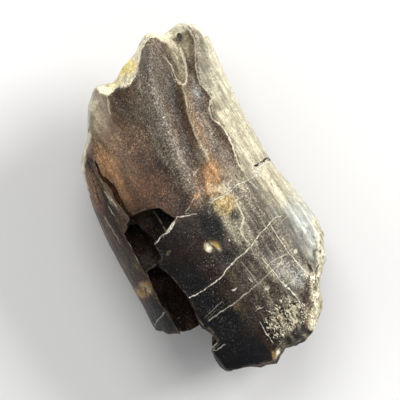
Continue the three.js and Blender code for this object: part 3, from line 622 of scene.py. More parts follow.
# The pale rim along broken edges: x, y, half width, half length, strength near there.
EDGE_WEAR = (
    (4.9, -7.2, 2.2, 2.6, 1), (3.2, -9.6, 1.2, 1.2, 0.9), (-0.6, -10.9, 0.4, 0.6, 0.6),
    (-2.4, -0.3, 1.3, 0.35, 0.35), (-4.3, -6.9, 1.6, 0.8, 0.35), (-3.8, -8, 0.6, 0.4, 0.4),
)
LEAST_WEAR = 0.12
# Faces that meet at a greater angle than this, in degrees, keep a sharp edge.
SHARP_ANGLE = 42

# ---- small helpers ----

CELL_PRIMES = (73856093, 19349663, 83492791)
SEED_PRIME = 2654435761
MIXERS = ((15, 2246822519), (13, 3266489917))
NOISE_SHIFT = 17.3


def ramp(value, low, high):
    """0 up to low, 1 from high on, with a smooth rise between."""
    share = np.clip((value - low) / (high - low), 0, 1)
    return share * share * (3 - 2 * share)


def table_value(table, position):
    """Smooth curve through (position, value) pairs, held level past both ends."""
    places, values = np.array(table, float).T
    last = len(places) - 1
    position = np.clip(position, places[0], places[last])
    i = np.clip(np.searchsorted(places, position, side="right") - 1, 0, last - 1)
    before = np.maximum(i - 1, 0)
    after = np.minimum(i + 2, last)
    span = places[i + 1] - places[i]
    start_slope = (values[i + 1] - values[before]) / (places[i + 1] - places[before]) * span
    end_slope = (values[after] - values[i]) / (places[after] - places[i]) * span
    t = (position - places[i]) / span
    rise = values[i] * (1 + 2 * t) * (1 - t) ** 2 + start_slope * t * (1 - t) ** 2
    return rise + values[i + 1] * t * t * (3 - 2 * t) + end_slope * t * t * (t - 1)


def curve_points(points, shares):
    """Points at shares of the length of a smooth curve through (x, y) points."""
    corners = np.array(points, float)
    run = np.vstack([corners[:1], corners, corners[-1:]])
    t = np.linspace(0, 1, 30, endpoint=False)[:, None]
    pieces = []
    for before, start, end, after in zip(run, run[1:], run[2:], run[3:]):
        leave, arrive = (end - before) / 2, (after - start) / 2
        bend = (2 * start - 2 * end + leave + arrive) * t**3
        pieces.append(bend + (3 * end - 3 * start - 2 * leave - arrive) * t**2 + leave * t + start)
    line = np.vstack([*pieces, corners[-1:]])
    lengths = np.concatenate([[0], np.cumsum(np.hypot(*np.diff(line, axis=0).T))])
    wanted = np.asarray(shares) * lengths[-1]
    return np.stack([np.interp(wanted, lengths, line[:, k]) for k in (0, 1)], axis=-1)


def divided(line, step, closed=False):
    """The corners of a straight-sided line with points about every step between them."""
    corners = [*line, line[0]] if closed else list(line)
    points = []
    for (x0, y0), (x1, y1) in zip(corners, corners[1:]):
        count = max(round(math.hypot(x1 - x0, y1 - y0) / step), 1)
        points += [(x0 + (x1 - x0) * k / count, y0 + (y1 - y0) * k / count) for k in range(count)]
    return np.array(points if closed else [*points, corners[-1]])


def lattice_value(cells, seed):
    """A value from -1 to 1 for each whole-number cell, always the same for the same cell."""
    mask = np.uint64(0xFFFFFFFF)
    x, y, z = cells.astype(np.int64).astype(np.uint64).T * np.array(CELL_PRIMES, np.uint64)[:, None]
    mixed = (x ^ y ^ z ^ np.uint64(seed * SEED_PRIME)) & mask
    for shift, prime in MIXERS:
        mixed = ((mixed ^ (mixed >> np.uint64(shift))) * np.uint64(prime)) & mask
    mixed ^= mixed >> np.uint64(16)
    return mixed.astype(float) / 0x7FFFFFFF - 1


def noise(points, size, seed):
    """Smooth noise from -1 to 1 whose lumps are about size across."""
    flat = points.reshape(-1, 3) / size + seed * NOISE_SHIFT
    cell = np.floor(flat)
    part = flat - cell
    part = part**3 * (part * (part * 6 - 15) + 10)
    total = np.zeros(len(flat))
    for corner in np.ndindex(2, 2, 2):
        weight = np.prod(np.where(corner, part, 1 - part), axis=1)
        total += weight * lattice_value(cell + corner, seed)
    return total.reshape(points.shape[:-1])


def layered_noise(points, grains, seed):
    """The sum of noise at several (size, height) grains."""
    parts = [height * noise(points, size, seed + k) for k, (size, height) in enumerate(grains)]
    return np.sum(parts, axis=0)


def with_height(x, y, z=0.0):
    return np.stack(np.broadcast_arrays(x, y, z), axis=-1).astype(float)


# ---- the unbroken tooth ----


def fullness(s, t, squareness):
    """How full the section is: 0 on the outline, 1 in the middle."""
    side = np.maximum(1 - np.abs(2 * s - 1) ** squareness, 0) ** (1 / squareness)
    from_tip = np.minimum((1 - t) * COLUMN_LENGTH / TIP_ROUNDING, 1)
    from_root = np.minimum(t * COLUMN_LENGTH / ROOT_ROUNDING, 1)
    return side * np.sqrt(1 - (1 - from_tip) ** 2) * np.sqrt(1 - (1 - from_root) ** 2)


def even_shares(height, width, rise, count):
    """Shares from 0 to 1 that lie evenly along a profile of that width and rise."""
    fine = (1 - np.cos(np.linspace(0, math.pi, 6001))) / 2
    steps = np.hypot(np.diff(fine) * width, np.diff(height(fine)) * rise)
    lengths = np.concatenate([[0], np.cumsum(steps)])
    return np.interp(np.linspace(0, lengths[-1], count + 1), lengths, fine)


def plan_points(s, t):
    """Points of the plan for shares s across from the left and t along from the root."""
    left, right = curve_points(LEFT_SIDE, t), curve_points(RIGHT_SIDE, t)
    root, tip = curve_points(ROOT_END, s), curve_points(TIP_EDGE, s)
    across, along = s[None, :, None], t[:, None, None]
    plan = (1 - across) * left[:, None] + across * right[:, None]
    plan = plan + (1 - along) * root[None] + along * tip[None]
    corners = (
        (LEFT_SIDE[0], (1 - across) * (1 - along)), (RIGHT_SIDE[0], across * (1 - along)),
        (LEFT_SIDE[-1], (1 - across) * along), (RIGHT_SIDE[-1], across * along),
    )
    for corner, weight in corners:
        plan = plan - weight * np.array(corner)
    return plan


def ridge_profile(x, y, crest, left, right):
    """How strongly a ridge or valley is felt at each point, from 0 to 1."""
    offset = x - table_value(crest, y)
    return np.exp(-((offset / np.where(offset < 0, left, right)) ** 2))


def spoon_height(x, y):
    along = (y - SPOON["y"]) / SPOON["half_length"]
    across = (x - SPOON["x"] - SPOON["lean"] * (y - SPOON["y"])) / SPOON["half_width"]
    return -SPOON["depth"] * np.exp(-((across**2 + along**2) ** 2))


def past_enamel(x, y):
    """How far each point lies past the worn edge of the enamel, towards the tip."""
    inside = (x >= ENAMEL_EDGE[0][0]) & (x <= ENAMEL_EDGE[-1][0])
    return np.where(inside, y - table_value(ENAMEL_EDGE, x), -1.0)


def past_flank(x, y):
    """How far each point lies right of the wavy edge of the flank."""
    return x - table_value(FLANK_LINE, y)


def outside_strip(x, y):
    return table_value(STRIP_LINE, y) - x


def relief_height(x, y):
    height = spoon_height(x, y) - ENAMEL_STEP * ramp(past_enamel(x, y), -0.1, 0.15)
    for ridge in FACE_RELIEF:
        felt = ridge_profile(x, y, ridge["crest"], ridge["left"], ridge["right"])
        height = height + table_value(ridge["height"], y) * felt
    return height - table_value(STRIP_DROP, y) * ramp(outside_strip(x, y), -0.15, 0.25)


def face_height(x, y, s, t):
    side = table_value(SIDE_HEIGHT, y)
    full = fullness(s, t, FACE_SQUARENESS)
    relief = relief_height(x, y) * np.minimum(full / RELIEF_FADE, 1) ** 2
    return side + (table_value(FACE_HEIGHT, y) - side) * full + relief


def face_height_at(x, y):
    """Height of the unbroken face over one point of the plan."""
    root, tip = ROOT_END[0][1], max(place[1] for place in TIP_EDGE)
    across = (x + SECTION_WIDTH / 2) / SECTION_WIDTH
    return float(face_height(np.array(x), np.array(y), across, (y - root) / (tip - root)))


def back_height(y, s, t):
    side = table_value(SIDE_HEIGHT, y)
    return side - (side - table_value(BACK_HEIGHT, y)) * fullness(s, t, BACK_SQUARENESS)


def surface_normals(grid):
    normals = np.cross(np.gradient(grid, axis=1), np.gradient(grid, axis=0))
    return normals / np.maximum(np.linalg.norm(normals, axis=2, keepdims=True), 1e-12)


def fine_unevenness(grid):
    """Small swells, grain and growth lines, in mm along the normal."""
    total = np.zeros(grid.shape[:2])
    for seed, (size, height, lengthening) in enumerate((*FACE_GRAINS, *GROWTH_LINES)):
        total += height * noise(grid / (1, lengthening, 1), size, seed + 3)
    return total


def crack_steps(x, y):
    """The broken plates sit a little higher or lower across the main cracks."""
    total = np.zeros_like(x)
    for (_, *line), step in STEPPED_CRACKS:
        distance, side, place = line_distance(x, y, line)
        near = 1 - ramp(distance, *STEP_REACH)
        total += step * near * np.clip(distance * side / STEP_WIDTH, -1, 1) * taper(place)
    return total


def quads(number):
    """Four-cornered faces between the rows and columns of a grid of vertex numbers."""
    corners = (number[:-1, :-1], number[:-1, 1:], number[1:, 1:], number[1:, :-1])
    return np.stack(corners, axis=-1).reshape(-1, 4).tolist()


def unbroken_tooth():
    """Vertices and faces of the closed tooth before any of it is broken off."""
    s = even_shares(lambda v: fullness(v, 0.5, FACE_SQUARENESS), SECTION_WIDTH, SECTION_RISE, COLUMNS)
    t = even_shares(lambda v: fullness(0.5, v, FACE_SQUARENESS), COLUMN_LENGTH, TIP_RISE, ROWS)
    plan = plan_points(s, t)
    x, y = plan[..., 0], plan[..., 1]
    across, along = s[None, :], t[:, None]
    face = with_height(x, y, face_height(x, y, across, along))
    fade = np.minimum(fullness(across, along, FACE_SQUARENESS) / GRAIN_FADE, 1)
    shift = (fine_unevenness(face) + crack_steps(x, y)) * fade
    face += surface_normals(face) * shift[..., None]
    back = with_height(x, y, back_height(y, across, along))
    back_shift = fine_unevenness(back) * fade * BACK_UNEVENNESS
    back -= surface_normals(back) * back_shift[..., None]
    face_number = np.arange(x.size).reshape(x.shape)
    inner = np.zeros(x.shape, bool)
    inner[BACK_STEP:-1:BACK_STEP, BACK_STEP:-1:BACK_STEP] = True
    back_number = face_number.copy()
    back_number[inner] = x.size + np.arange(inner.sum())
    vertices = np.vstack([face.reshape(-1, 3), back[inner]])
    return vertices, quads(face_number) + back_faces(back_number)


def back_faces(number):
    """Faces of the coarser back, whose outer edges take in every vertex of the outline."""
    rows, columns = number.shape
    faces = []
    for i in range(0, rows - 1, BACK_STEP):
        for j in range(0, columns - 1, BACK_STEP):
            i2, j2 = i + BACK_STEP, j + BACK_STEP
            left = number[i:i2, j] if j == 0 else number[i:i + 1, j]
            top = number[i2, j:j2] if i2 == rows - 1 else number[i2, j:j + 1]
            right = number[i2:i:-1, j2] if j2 == columns - 1 else number[i2:i2 + 1, j2]
            bottom = number[i, j2:j:-1] if i == 0 else number[i, j2:j2 + 1]
            faces.append(np.concatenate([left, top, right, bottom]).tolist())
    return faces


# ---- the breaks ----


def lofted(layers):
    """Vertices and faces of a closed solid through rings of as many points each."""
    rings = np.array(layers, float)
    number = np.arange(rings.size // 3).reshape(rings.shape[:2])
    walls = quads(np.column_stack([number, number[:, 0]]))
    return rings.reshape(-1, 3), [*walls, number[0][::-1].tolist(), number[-1].tolist()]


def left_turning(outline):
    x, y = np.array(outline).T
    area = np.sum(x * np.roll(y, -1) - np.roll(x, -1) * y)
    return outline if area > 0 else outline[::-1]


def pit_cutter(pit, seed):
    """A cutter from its uneven floor up through the face, with fractured walls."""
    rings = pit.get("rings", PIT_RINGS)
    ring = divided(left_turning(pit["outline"]), PIT_STEP * (PIT_RINGS / rings) ** 0.5, closed=True)
    rough = [(size, share * pit["roughness"]) for size, share in PIT_GRAINS]
    middle = ring.mean(axis=0)
    layers = []
    for share in np.linspace(0.3 / rings, 1, rings):
        flat = middle + (ring - middle) * share
        points = with_height(*flat.T, pit["floor"])
        points[:, 2] += pit.get("slope", 0) * (flat[:, 1] - middle[1])
        points[:, 2] += PIT_FLOOR_ROUGHNESS * layered_noise(points, rough, seed)
        layers.append(points)
    steps = max(round((WALL_TOP - pit["floor"]) / PIT_STEP), 3)
    for z in np.linspace(pit["floor"] + WALL_START, WALL_TOP, steps):
        points = with_height(*ring.T, z)
        points[:, 0] += layered_noise(points, rough, seed + 5)
        points[:, 1] += layered_noise(points, rough, seed + 9)
        layers.append(points)
    layers.append(with_height(*ring.T, CUTTER_TOP))
    return lofted(layers)


def base_cutter():
    """Everything beyond the broken base."""
    edge = divided(BASE_BREAK, BREAK_STEP)
    inward = np.array(BREAK_MIDDLE) - edge
    inward /= np.linalg.norm(inward, axis=1, keepdims=True)
    layers = []
    for z in np.arange(BREAK_INSET[0][0], BREAK_INSET[-1][0], BREAK_STEP):
        points = with_height(*edge.T, z)
        clean = table_value(BREAK_CLEAN, z)
        shift = table_value(BREAK_INSET, z) + clean * layered_noise(points, BREAK_GRAINS, seed=21)
        points[:, :2] += inward * shift[:, None]
        layers.append(np.vstack([points, [(x, y, z) for x, y in BEYOND_BASE]]))
    return lofted(layers)


def hollow_cutter():
    """The pulp hollow down to the base, with rough walls."""
    places = [-ring[0] for ring in HOLLOW]
    steps = np.arange(places[0], places[-1], HOLLOW_STEP)
    x, z, half_width, half_height = (
        table_value([(-ring[0], ring[k]) for ring in HOLLOW], steps) for k in (1, 2, 3, 4)
    )
    angle = np.linspace(0, 2 * math.pi, HOLLOW_SIDES, endpoint=False)
    layers = []
    for k, step in enumerate(steps):
        across, up = half_width[k] * np.cos(angle), half_height[k] * np.sin(angle)
        swell = 1 + layered_noise(with_height(across, -step, up), HOLLOW_GRAINS, seed=31)
        layers.append(with_height(x[k] + across * swell, -step, z[k] + up * swell))
    return lofted(layers)


def facet_cutter():
    """The hollow chewing facet: a slab whose finely worn upper side bulges into the tooth."""
    half_width, near, far, depth = 9, -4.5, 13, 8
    x = np.linspace(-half_width, half_width, round(2 * half_width / FACET_STEP))
    y = np.linspace(near, far, round((far - near) / FACET_STEP))
    across, along = np.meshgrid(x, y)
    bulge = FACET_HOLLOW * (1 - np.minimum(np.abs(across) / FACET_HOLLOW_WIDTH, 1) ** 2)
    top = with_height(across, along, bulge)
    top[..., 2] += layered_noise(top / (1, 0.35, 1), FACET_GRAINS, seed=41)
    number = np.arange(top.size // 3).reshape(top.shape[:2])
    rim = np.concatenate([number[0], number[1:, -1], number[-1, -2::-1], number[-2:0:-1, 0]])
    below = top.reshape(-1, 3)[rim] * (1, 1, 0) - (0, 0, depth)
    low = top.size // 3 + np.arange(len(rim))
    walls = np.stack([low, np.roll(low, -1), np.roll(rim, -1), rim], axis=-1)
    x, y, z = np.vstack([top.reshape(-1, 3), below]).T
    sine, cosine = math.sin(math.radians(FACET_ANGLE)), math.cos(math.radians(FACET_ANGLE))
    turned_y = y * cosine - z * sine + FACET_FOOT[0]
    turned_z = y * sine + z * cosine + FACET_FOOT[1]
    return with_height(x, turned_y, turned_z), [*quads(number), *walls.tolist(), low[::-1].tolist()]


def rest_cutter():
    """Everything under the flat face that the tooth rests on."""
    half_width, half_length, depth = 15, 20, 4
    corners = (
        (-half_width, -half_length), (half_width, -half_length), (half_width, half_length),
        (-half_width, half_length),
    )
    return lofted([[(x, y, z) for x, y in corners] for z in (-depth, 0)])


def face_lump(lump, seed):
    """A rough rounded lump or dent on the face."""
    sides, rings, last_tilt = 28, 18, 0.47 * math.pi
    size, share = LUMP_GRAIN
    angle = np.linspace(0, 2 * math.pi, sides, endpoint=False)
    layers = []
    for tilt in np.linspace(-last_tilt, last_tilt, rings):
        unit = with_height(np.cos(angle) * math.cos(tilt), np.sin(angle) * math.cos(tilt), math.sin(tilt))
        layers.append(unit * lump["radii"] * (1 + share * noise(unit, size * 2, seed))[:, None])
    vertices, faces = lofted(layers)
    centre = (lump["x"], lump["y"], face_height_at(lump["x"], lump["y"]) + lump["lift"])
    return vertices + centre, faces


def mesh_object(name, vertices, faces, materials=()):
    mesh = bpy.data.meshes.new(name)
    mesh.from_pydata(np.asarray(vertices) * MM, [], faces)
    mesh.update()
    for material in materials:
        mesh.materials.append(material)
    made = bpy.data.objects.new(name, mesh)
    bpy.context.scene.collection.objects.link(made)
    return made


def broken_tooth(name):
    """The tooth with everything broken off it, and the kind of each face as its material."""
    marks = {kind: bpy.data.materials.new("mark_" + kind) for kind in KINDS}
    tooth = mesh_object(name, *unbroken_tooth(), [marks["enamel"]])
    cuts = [
        ("rest", rest_cutter()), ("facet", facet_cutter()), ("break", base_cutter()),
        ("window", hollow_cutter()), ("window", pit_cutter(WINDOW_LEDGE, seed=51)),
        ("window", pit_cutter(UPPER_WELL, seed=52)), ("window", pit_cutter(LOWER_WELL, seed=53)),
        ("window", pit_cutter(SIDE_GAP, seed=54)), ("crumble", pit_cutter(CRUMBLED_PATCH, seed=55)),
        ("pit", face_lump(TIP_PIT, seed=61)), ("notch", face_lump(BASE_NOTCH, seed=63)),
        ("chip", pit_cutter(FACE_CHIP, seed=65)), ("enamel", face_lump(BASE_LOBE, seed=64)),
    ]
    cutters = []
    for k, (kind, shape) in enumerate(cuts):
        cutters.append(mesh_object(f"cutter_{k}", *shape, [marks[kind]]))
        step = tooth.modifiers.new(f"cut_{k}", "BOOLEAN")
        step.object = cutters[-1]
        step.solver = "MANIFOLD"
        step.material_mode = "TRANSFER"
        step.operation = "UNION" if kind == "enamel" else "DIFFERENCE"
    evaluated(tooth, cutters)
    return tooth, marks


def evaluated(made, helpers=()):
    """Turns an object's modifiers into plain mesh and removes what they used."""
    shaped = bpy.data.meshes.new_from_object(made.evaluated_get(bpy.context.evaluated_depsgraph_get()))
    made.modifiers.clear()
    before = made.data
    made.data = shaped
    bpy.data.meshes.remove(before)
    shaped.name = made.name
    for helper in helpers:
        mesh = helper.data
        bpy.data.objects.remove(helper)
        bpy.data.meshes.remove(mesh)


# ---- lines on the surface ----


def line_distance(x, y, line):
    """Distance to a line of (x, y) points, the side, and how far inside its ends the nearest is."""
    nearest = np.full(x.shape, np.inf)
    side = np.ones(x.shape)
    place = np.zeros(x.shape)
    lengths = [math.dist(a, b) for a, b in zip(line, line[1:])]
    walked = 0.0
    for (x0, y0), (x1, y1), length in zip(line, line[1:], lengths):
        dx, dy = (x1 - x0) / length, (y1 - y0) / length
        reach = (x - x0) * dx + (y - y0) * dy
        held = np.clip(reach, 0, length)
        distance = np.hypot(x - x0 - held * dx, y - y0 - held * dy)
        closer = distance < nearest
        nearest = np.where(closer, distance, nearest)
        side = np.where(closer, np.sign((x - x0) * dy - (y - y0) * dx), side)
        from_ends = np.minimum(walked + reach, sum(lengths) - walked - reach)
        place = np.where(closer, from_ends, place)
        walked += length
    return nearest, side, place


def taper(place):
    """1 along a line, 0 past its ends."""
    return ramp(place, -LINE_END / 3, LINE_END)


def nearest_line(x, y, lines):
    """Signed distance to the nearest of some lines, and how strong that line is there."""
    signed = np.full(x.shape, LINE_REACH)
    strength = np.zeros(x.shape)
    nearest = np.full(x.shape, LINE_REACH * 1.5)
    for most, *line in lines:
        distance, side, place = line_distance(x, y, line)
        closer = distance < nearest
        nearest = np.where(closer, distance, nearest)
        signed = np.where(closer, distance * side, signed)
        fade = most * taper(place) * (1 - ramp(distance, LINE_REACH * 0.6, LINE_REACH))
        strength = np.where(closer, fade, strength)
    return signed, strength


# ---- paint ----


def linear(colour):
    """A display colour as a linear one."""
    value = np.array(colour, float)
    return np.where(value <= 0.04045, value / 12.92, ((value + 0.055) / 1.055) ** 2.4)


def fibres(points, seed):
    """Noise drawn out along the tooth, from -1 to 1, fine enough to show single streaks."""
    return layered_noise(points / (1, 16, 1), FIBRES, seed)


def veins(points, size, seed, width=1.0):
    """1 on a net of fine lines, 0 between them."""
    return 1 - ramp(np.abs(noise(points, size, seed)), 0.02 * width, 0.14 * width)


class Coat:
    """A colour at each of some points, with others laid over it."""

    def __init__(self, points, palette, base, narrowing=1.0):
        self.points, self.palette, self.narrowing = points, palette, narrowing
        self.ragged = layered_noise(points / (1, 1.6, 1), STAIN_EDGE, seed=81)
        self.colours = np.broadcast_to(palette[base], points.shape)

    def other(self, base):
        """A coat of another colour on the same points."""
        made = copy.copy(self)
        made.colours = np.broadcast_to(self.palette[base], self.points.shape)
        return made

    def lay(self, colour, share):
        """Covers as much as share says with a palette colour or another coat."""
        over = colour.colours if isinstance(colour, Coat) else self.palette[colour]
        self.colours = self.colours + (over - self.colours) * np.clip(share, 0, 1)[..., None]
        return self

    def stain_share(self, x, y, half_width, half_length, strength, softness=0.9, lean=0.0):
        """How strongly a stain with a ragged edge covers each point."""
        dy = (self.points[:, 1] - y) * self.narrowing
        across = (self.points[:, 0] - x - lean * dy) / half_width
        reach = np.hypot(across, dy / half_length) + self.ragged
        return strength * (1 - ramp(reach, 1 - softness, 1 + softness * 0.6))

    def stain(self, stains):
        for colour, *place in stains:
            self.lay(colour, self.stain_share(*place))
        return self

    def shade(self, factor):
        self.colours = self.colours * factor[:, None]
        return self


def face_paint(points, palette):
    """Colour of the outer surface at each point, before the fine flecks."""
    x, y, z = points.T
    streaks = fibres(points, seed=91)
    blotches = layered_noise(points / (1, 1.5, 1), BLOTCHES, seed=95)
    dapple = layered_noise(points, DAPPLE, seed=98)
    coat = Coat(points, palette, "brown")
    lower = coat.other("bitumen").lay("grey_brown", ramp(x + 0.3 * streaks + 0.3 * blotches, 0, 1.1))
    coat.lay(lower, ramp(-y + 0.3 * blotches, -0.3, 0.5))
    for colour, crest, left, right, strengths in BANDS:
        share = table_value(strengths, y) * ridge_profile(x, y, crest, left, right)
        coat.lay(colour, share * (1 + 0.35 * blotches + 0.3 * dapple))
    coat.stain(STAINS)
    low_right = ramp(x, 0.2, 1.2) * ramp(-y, -0.4, 1.5)
    coat.lay("bone", low_right * ramp(streaks, 0.1, 0.6) * 0.55)
    coat.lay("umber", low_right * ramp(-streaks, 0.1, 0.6) * 0.65)
    paint_net(coat, dapple)
    paint_flank(coat, streaks, blotches)
    paint_strip(coat, streaks)
    paint_tip(coat, streaks, dapple)
    under = ramp(-z + 0.9 * blotches + 0.7 * streaks, -5.2, -3.9)
    coat.lay(back_coat(coat, streaks, blotches), under)
    return coat.shade(1 + 0.15 * streaks + 0.2 * blotches + 0.22 * dapple).colours


def paint_net(coat, dapple):
    """The cream net on the mottled patch and the pale scratches low on the right."""
    wide_net = veins(coat.points / (1, 0.8, 1), 0.55, seed=141, width=2)
    net = np.maximum(wide_net, 0.8 * veins(coat.points, 0.3, seed=143, width=1.6))
    patch = coat.stain_share(*MOTTLED)
    coat.lay("umber", patch * ramp(-dapple, 0.1, 0.5) * 0.45)
    coat.lay("cream", patch * net * ramp(dapple, -0.5, 0.2) * 0.68)
    scratches = ramp(layered_noise(coat.points / (1, 3.5, 1), SCRATCHES, seed=147), 0.3, 0.6)
    coat.lay("cream", coat.stain_share(*SCRATCHED) * scratches * 0.75)


def paint_flank(coat, streaks, blotches):
    """The pale flank right of its wavy edge, bluer towards the base, with painted shade in its grooves and a
    painted highlight along its upper right edge.
    """
    x, y, _ = coat.points.T
    threads = fibres(coat.points * (2, 1, 1), seed=97)
    crackle = veins(coat.points / (0.8, 1.6, 1), 0.55, seed=145)
    upper, low = ramp(y, 4.5, 6.5), ramp(-y, -0.6, 0.8)
    flank = coat.other("cream").lay("pale_blue", ramp(-y + blotches, 1.5, 4.5))
    flank.lay("bone", 0.05 + 0.45 * ramp(blotches + streaks, -0.2, 0.5))
    flank.stain(FLANK_STAINS)
    flank.lay("pale_blue", 0.12 * upper)
    flank.lay("khaki", ramp(-streaks, 0.1, 0.55) * (0.6 - 0.4 * upper))
    # Painted highlight along the upper right edge of the flank.
    flank.lay("cream", 0.4 * upper * ramp(x - 0.3 * (y - 7), 5.3, 5.8))
    flank.lay("grey_brown", ramp(-threads, 0.3, 0.7) * (0.32 - 0.22 * upper))
    flank.lay("crack", ramp(threads, 0.2, 0.7) * (0.45 - 0.3 * upper))
    flank.lay("grey_brown", crackle * ramp(blotches, -0.1, 0.3) * 0.35)
    softness = 0.12 + 1.1 * low
    coat.lay(flank, ramp(past_flank(x, y) + 0.4 * streaks * low, -softness / 3, softness) * 0.97)


def paint_strip(coat, streaks):
    """The streaky brown strip left of the gap."""
    x, y, z = coat.points.T
    high = ramp(z + 1.5 * streaks, 4, 7.5)
    bend = (9.5 - z) * 0.25 * noise(coat.points, 2.4, seed=153) * (1 - high)
    bent = coat.points + with_height(0, bend)
    strip = Coat(bent, coat.palette, "umber", narrowing=1 + 0.45 * np.clip(8.3 - z, 0, 4))
    strip.lay("brown", ramp(streaks, -0.1, 0.7) * 0.6)
    for colour, *place in STRIP_STAINS:
        strip.lay(colour, (0.1 + 0.9 * high) * strip.stain_share(*place))
    upper = ramp(y, -0.5, 3)
    threads = ramp(fibres(coat.points * (2, 1, 1), seed=97), 0.2, 0.6)
    glints = ramp(fibres(coat.points * (2.6, 5, 1), seed=99), 0.45, 0.8)
    strip.lay("tan", threads * (0.2 + 0.4 * upper)).lay("bone", glints * (0.12 + 0.4 * upper))
    dark = coat.other("bitumen").lay("maroon", ramp(y, -1, 2))
    strip.lay(dark, ramp(-streaks, 0.2, 0.6) * 0.65)
    coat.lay(strip, ramp(outside_strip(x, y), -0.05, 0.15) * (1 - ramp(y, 6.2, 7)))


def paint_tip(coat, streaks, dapple):
    """Bare dentine past the enamel, yellow in the middle, and pale rims: worn, and painted highlight where
    the tip's edges catch the light.
    """
    x, y, z = coat.points.T
    above = z - table_value(SIDE_HEIGHT, y) + 0.5 * dapple + 0.6 * noise(coat.points, 0.9, seed=151)
    for reach, colour, strength, *line in WORN_AND_LIT_RIMS:
        distance = line_distance(x, y, line)[0] + 0.12 * dapple + 0.05 * streaks
        lowest = -0.8 if line[0][0] > 0 else 0.2
        share = strength * ramp(above, lowest, lowest + 1.2)
        coat.lay(colour, share * (1 - ramp(distance, reach * 0.5, reach)))
    worn = ramp(past_enamel(x, y) + 0.1 + 0.07 * dapple, -0.03, 0.04)
    coat.lay("cream", worn).lay("yellow_cream", coat.stain_share(*YELLOW_TIP) * worn)
    # The bared dentine is made up to a quarter brighter: painted light on slopes that turn away from the
    # lamps.
    coat.lay("tan", worn * ramp(-dapple, 0.3, 0.6) * 0.3).shade(1 + 0.24 * worn)
    coat.lay("umber", coat.stain_share(*POROUS_RIM) * ramp(-dapple, 0.05, 0.35) * 0.75)


def back_coat(coat, streaks, blotches):
    """Dull brown back with paler streaks and a few rusty clouds."""
    made = coat.other("umber").lay("grey_brown", ramp(streaks + blotches, -0.2, 0.7) * 0.8)
    made.lay("tan", ramp(noise(coat.points, 2.6, seed=101), 0.1, 0.7) * 0.5)
    return made.lay("bitumen", ramp(noise(coat.points, 2.1, seed=102), 0.2, 0.8) * 0.7)


# Each kind of broken face takes the same points, and coarse and fine noise over them.


def dentine_coat(coat, coarse, fine):
    made = coat.other("umber").lay("tan", ramp(coarse, -0.3, 0.6) * 0.5)
    return made.lay("bone", ramp(fine + 0.8 * coarse, 0.2, 0.8) * 0.35)


def facet_coat(coat, coarse, fine):
    made = coat.other("tan").lay("warm_grey", 0.5 + coarse)
    made.lay("umber", ramp(np.abs(coat.points[:, 0]), 4.2, 5.4) * 0.7)
    return made.shade(1 + 0.1 * fine)


def break_coat(coat, coarse, fine):
    """Dentine with a pale crumbly rim high on the right."""
    x, _, z = coat.points.T
    rim = ramp(z + x + 0.8 * coarse, 10.8, 12) * ramp(x, -0.6, 2.4)
    holes = layered_noise(coat.points / (1, 1, 2.2), BREAK_HOLES, seed=119)
    made = dentine_coat(coat, coarse, fine).lay("bone", rim * 0.6)
    made.lay("cream", rim * ramp(holes, -0.35, 0.15) * 0.75)
    return made.lay("umber", rim * ramp(-holes + 0.4 * fine, 0.2, 0.5) * 0.7)


def window_coat(coat, coarse, fine):
    """Dark wells, with a pale seam across the ledge and the edge of a plate between them."""
    x, y, z = coat.points.T
    gap = ramp(y, 1.4, 1.9)
    seam = (1 - ramp(np.abs(x + 2.44 + 0.05 * coarse), 0, 0.07)) * ramp(1.25 - y, 0, 0.2)
    plate = (1 - ramp(np.abs(y + 1.8 - 0.1 * x - 0.43), 0.03, 0.14)) * ramp(z, 6.3, 6.7)
    made = coat.other("bitumen").lay("maroon", 0.6 + coarse).lay("red_brown", gap * 0.8)
    made.lay("brown", ramp(fibres(coat.points, seed=93), 0.1, 0.6) * 0.25)
    made.lay("slate_grey", coat.stain_share(*GREY_CORNER) * ramp(z, 6.3, 6.7) * 0.28)
    made.lay("olive", coat.stain_share(*OLIVE_LEDGE) * ramp(z, 8.3, 8.6) * 0.3)
    # Made brighter, the more the deeper it lies: painted light in the wells against their shade.
    made.shade(1.5 + 0.5 * fine + 0.5 * gap + 1.6 * (1 - ramp(z, 7.4, 8.6)))
    made.lay("silver", plate * 0.7 * ramp(fine, -0.6, 0))
    return made.lay("bone", seam * (z > 8.6) * ramp(fine, -0.6, 0.1) * 0.9)


def crumble_coat(coat, coarse, fine):
    """Leaning cream crumbs with dark gaps between them."""
    x, y, _ = coat.points.T
    upper, left = ramp(y + 0.3 * coarse, -8.9, -8.4), 1 - ramp(x, -0.3, 0.9)
    leaning = (coat.points + with_height(0.3 * y, 0)) / (1, 2.7, 2)
    strokes = layered_noise(leaning, CRUMBLE_STROKES, seed=117) + 0.3 * fine
    bright = strokes - 0.1 * upper + 0.15 * coarse - 0.3 * left + 0.3 * ramp(x, 1.2, 1.8) - 0.06
    made = coat.other("silver").lay("umber", ramp(coarse, -0.3, 0.4) * 0.6)
    made.lay("cream", ramp(bright, -0.02, 0.3) * 0.9)
    return made.lay("bitumen", ramp(-strokes + 0.25 * upper + 0.2 * left, 0.15, 0.38) * 0.85)


def chip_coat(coat, coarse, fine):
    """Ochre floor with bright spots, and a dark line of painted shade in the cleft between them."""
    x, y, _ = coat.points.T
    made = coat.other("brown").lay("ochre", 0.5 + coarse + fine).stain(CHIP_SPOTS)
    cleft = np.abs(x + 0.44 + 0.3 * (y + 2.7)) - 0.06 * fine
    made.lay("ochre", ramp(fine, 0.15, 0.5) * 0.5)
    # Painted shade in the cleft between the bright pieces.
    return made.lay("umber", (1 - ramp(cleft, 0, 0.09)) * 0.8)


def pit_coat(coat, coarse, fine):
    x, y, _ = coat.points.T
    # Grey brown to the upper left, bone to the right: painted shade and light across the hollow of the pit.
    shade = ramp(x - 4.93 - 0.5 * (y - 9.78) + 0.3 * fine, -0.1, 0.35)
    return coat.other("grey_brown").lay("bone", shade)


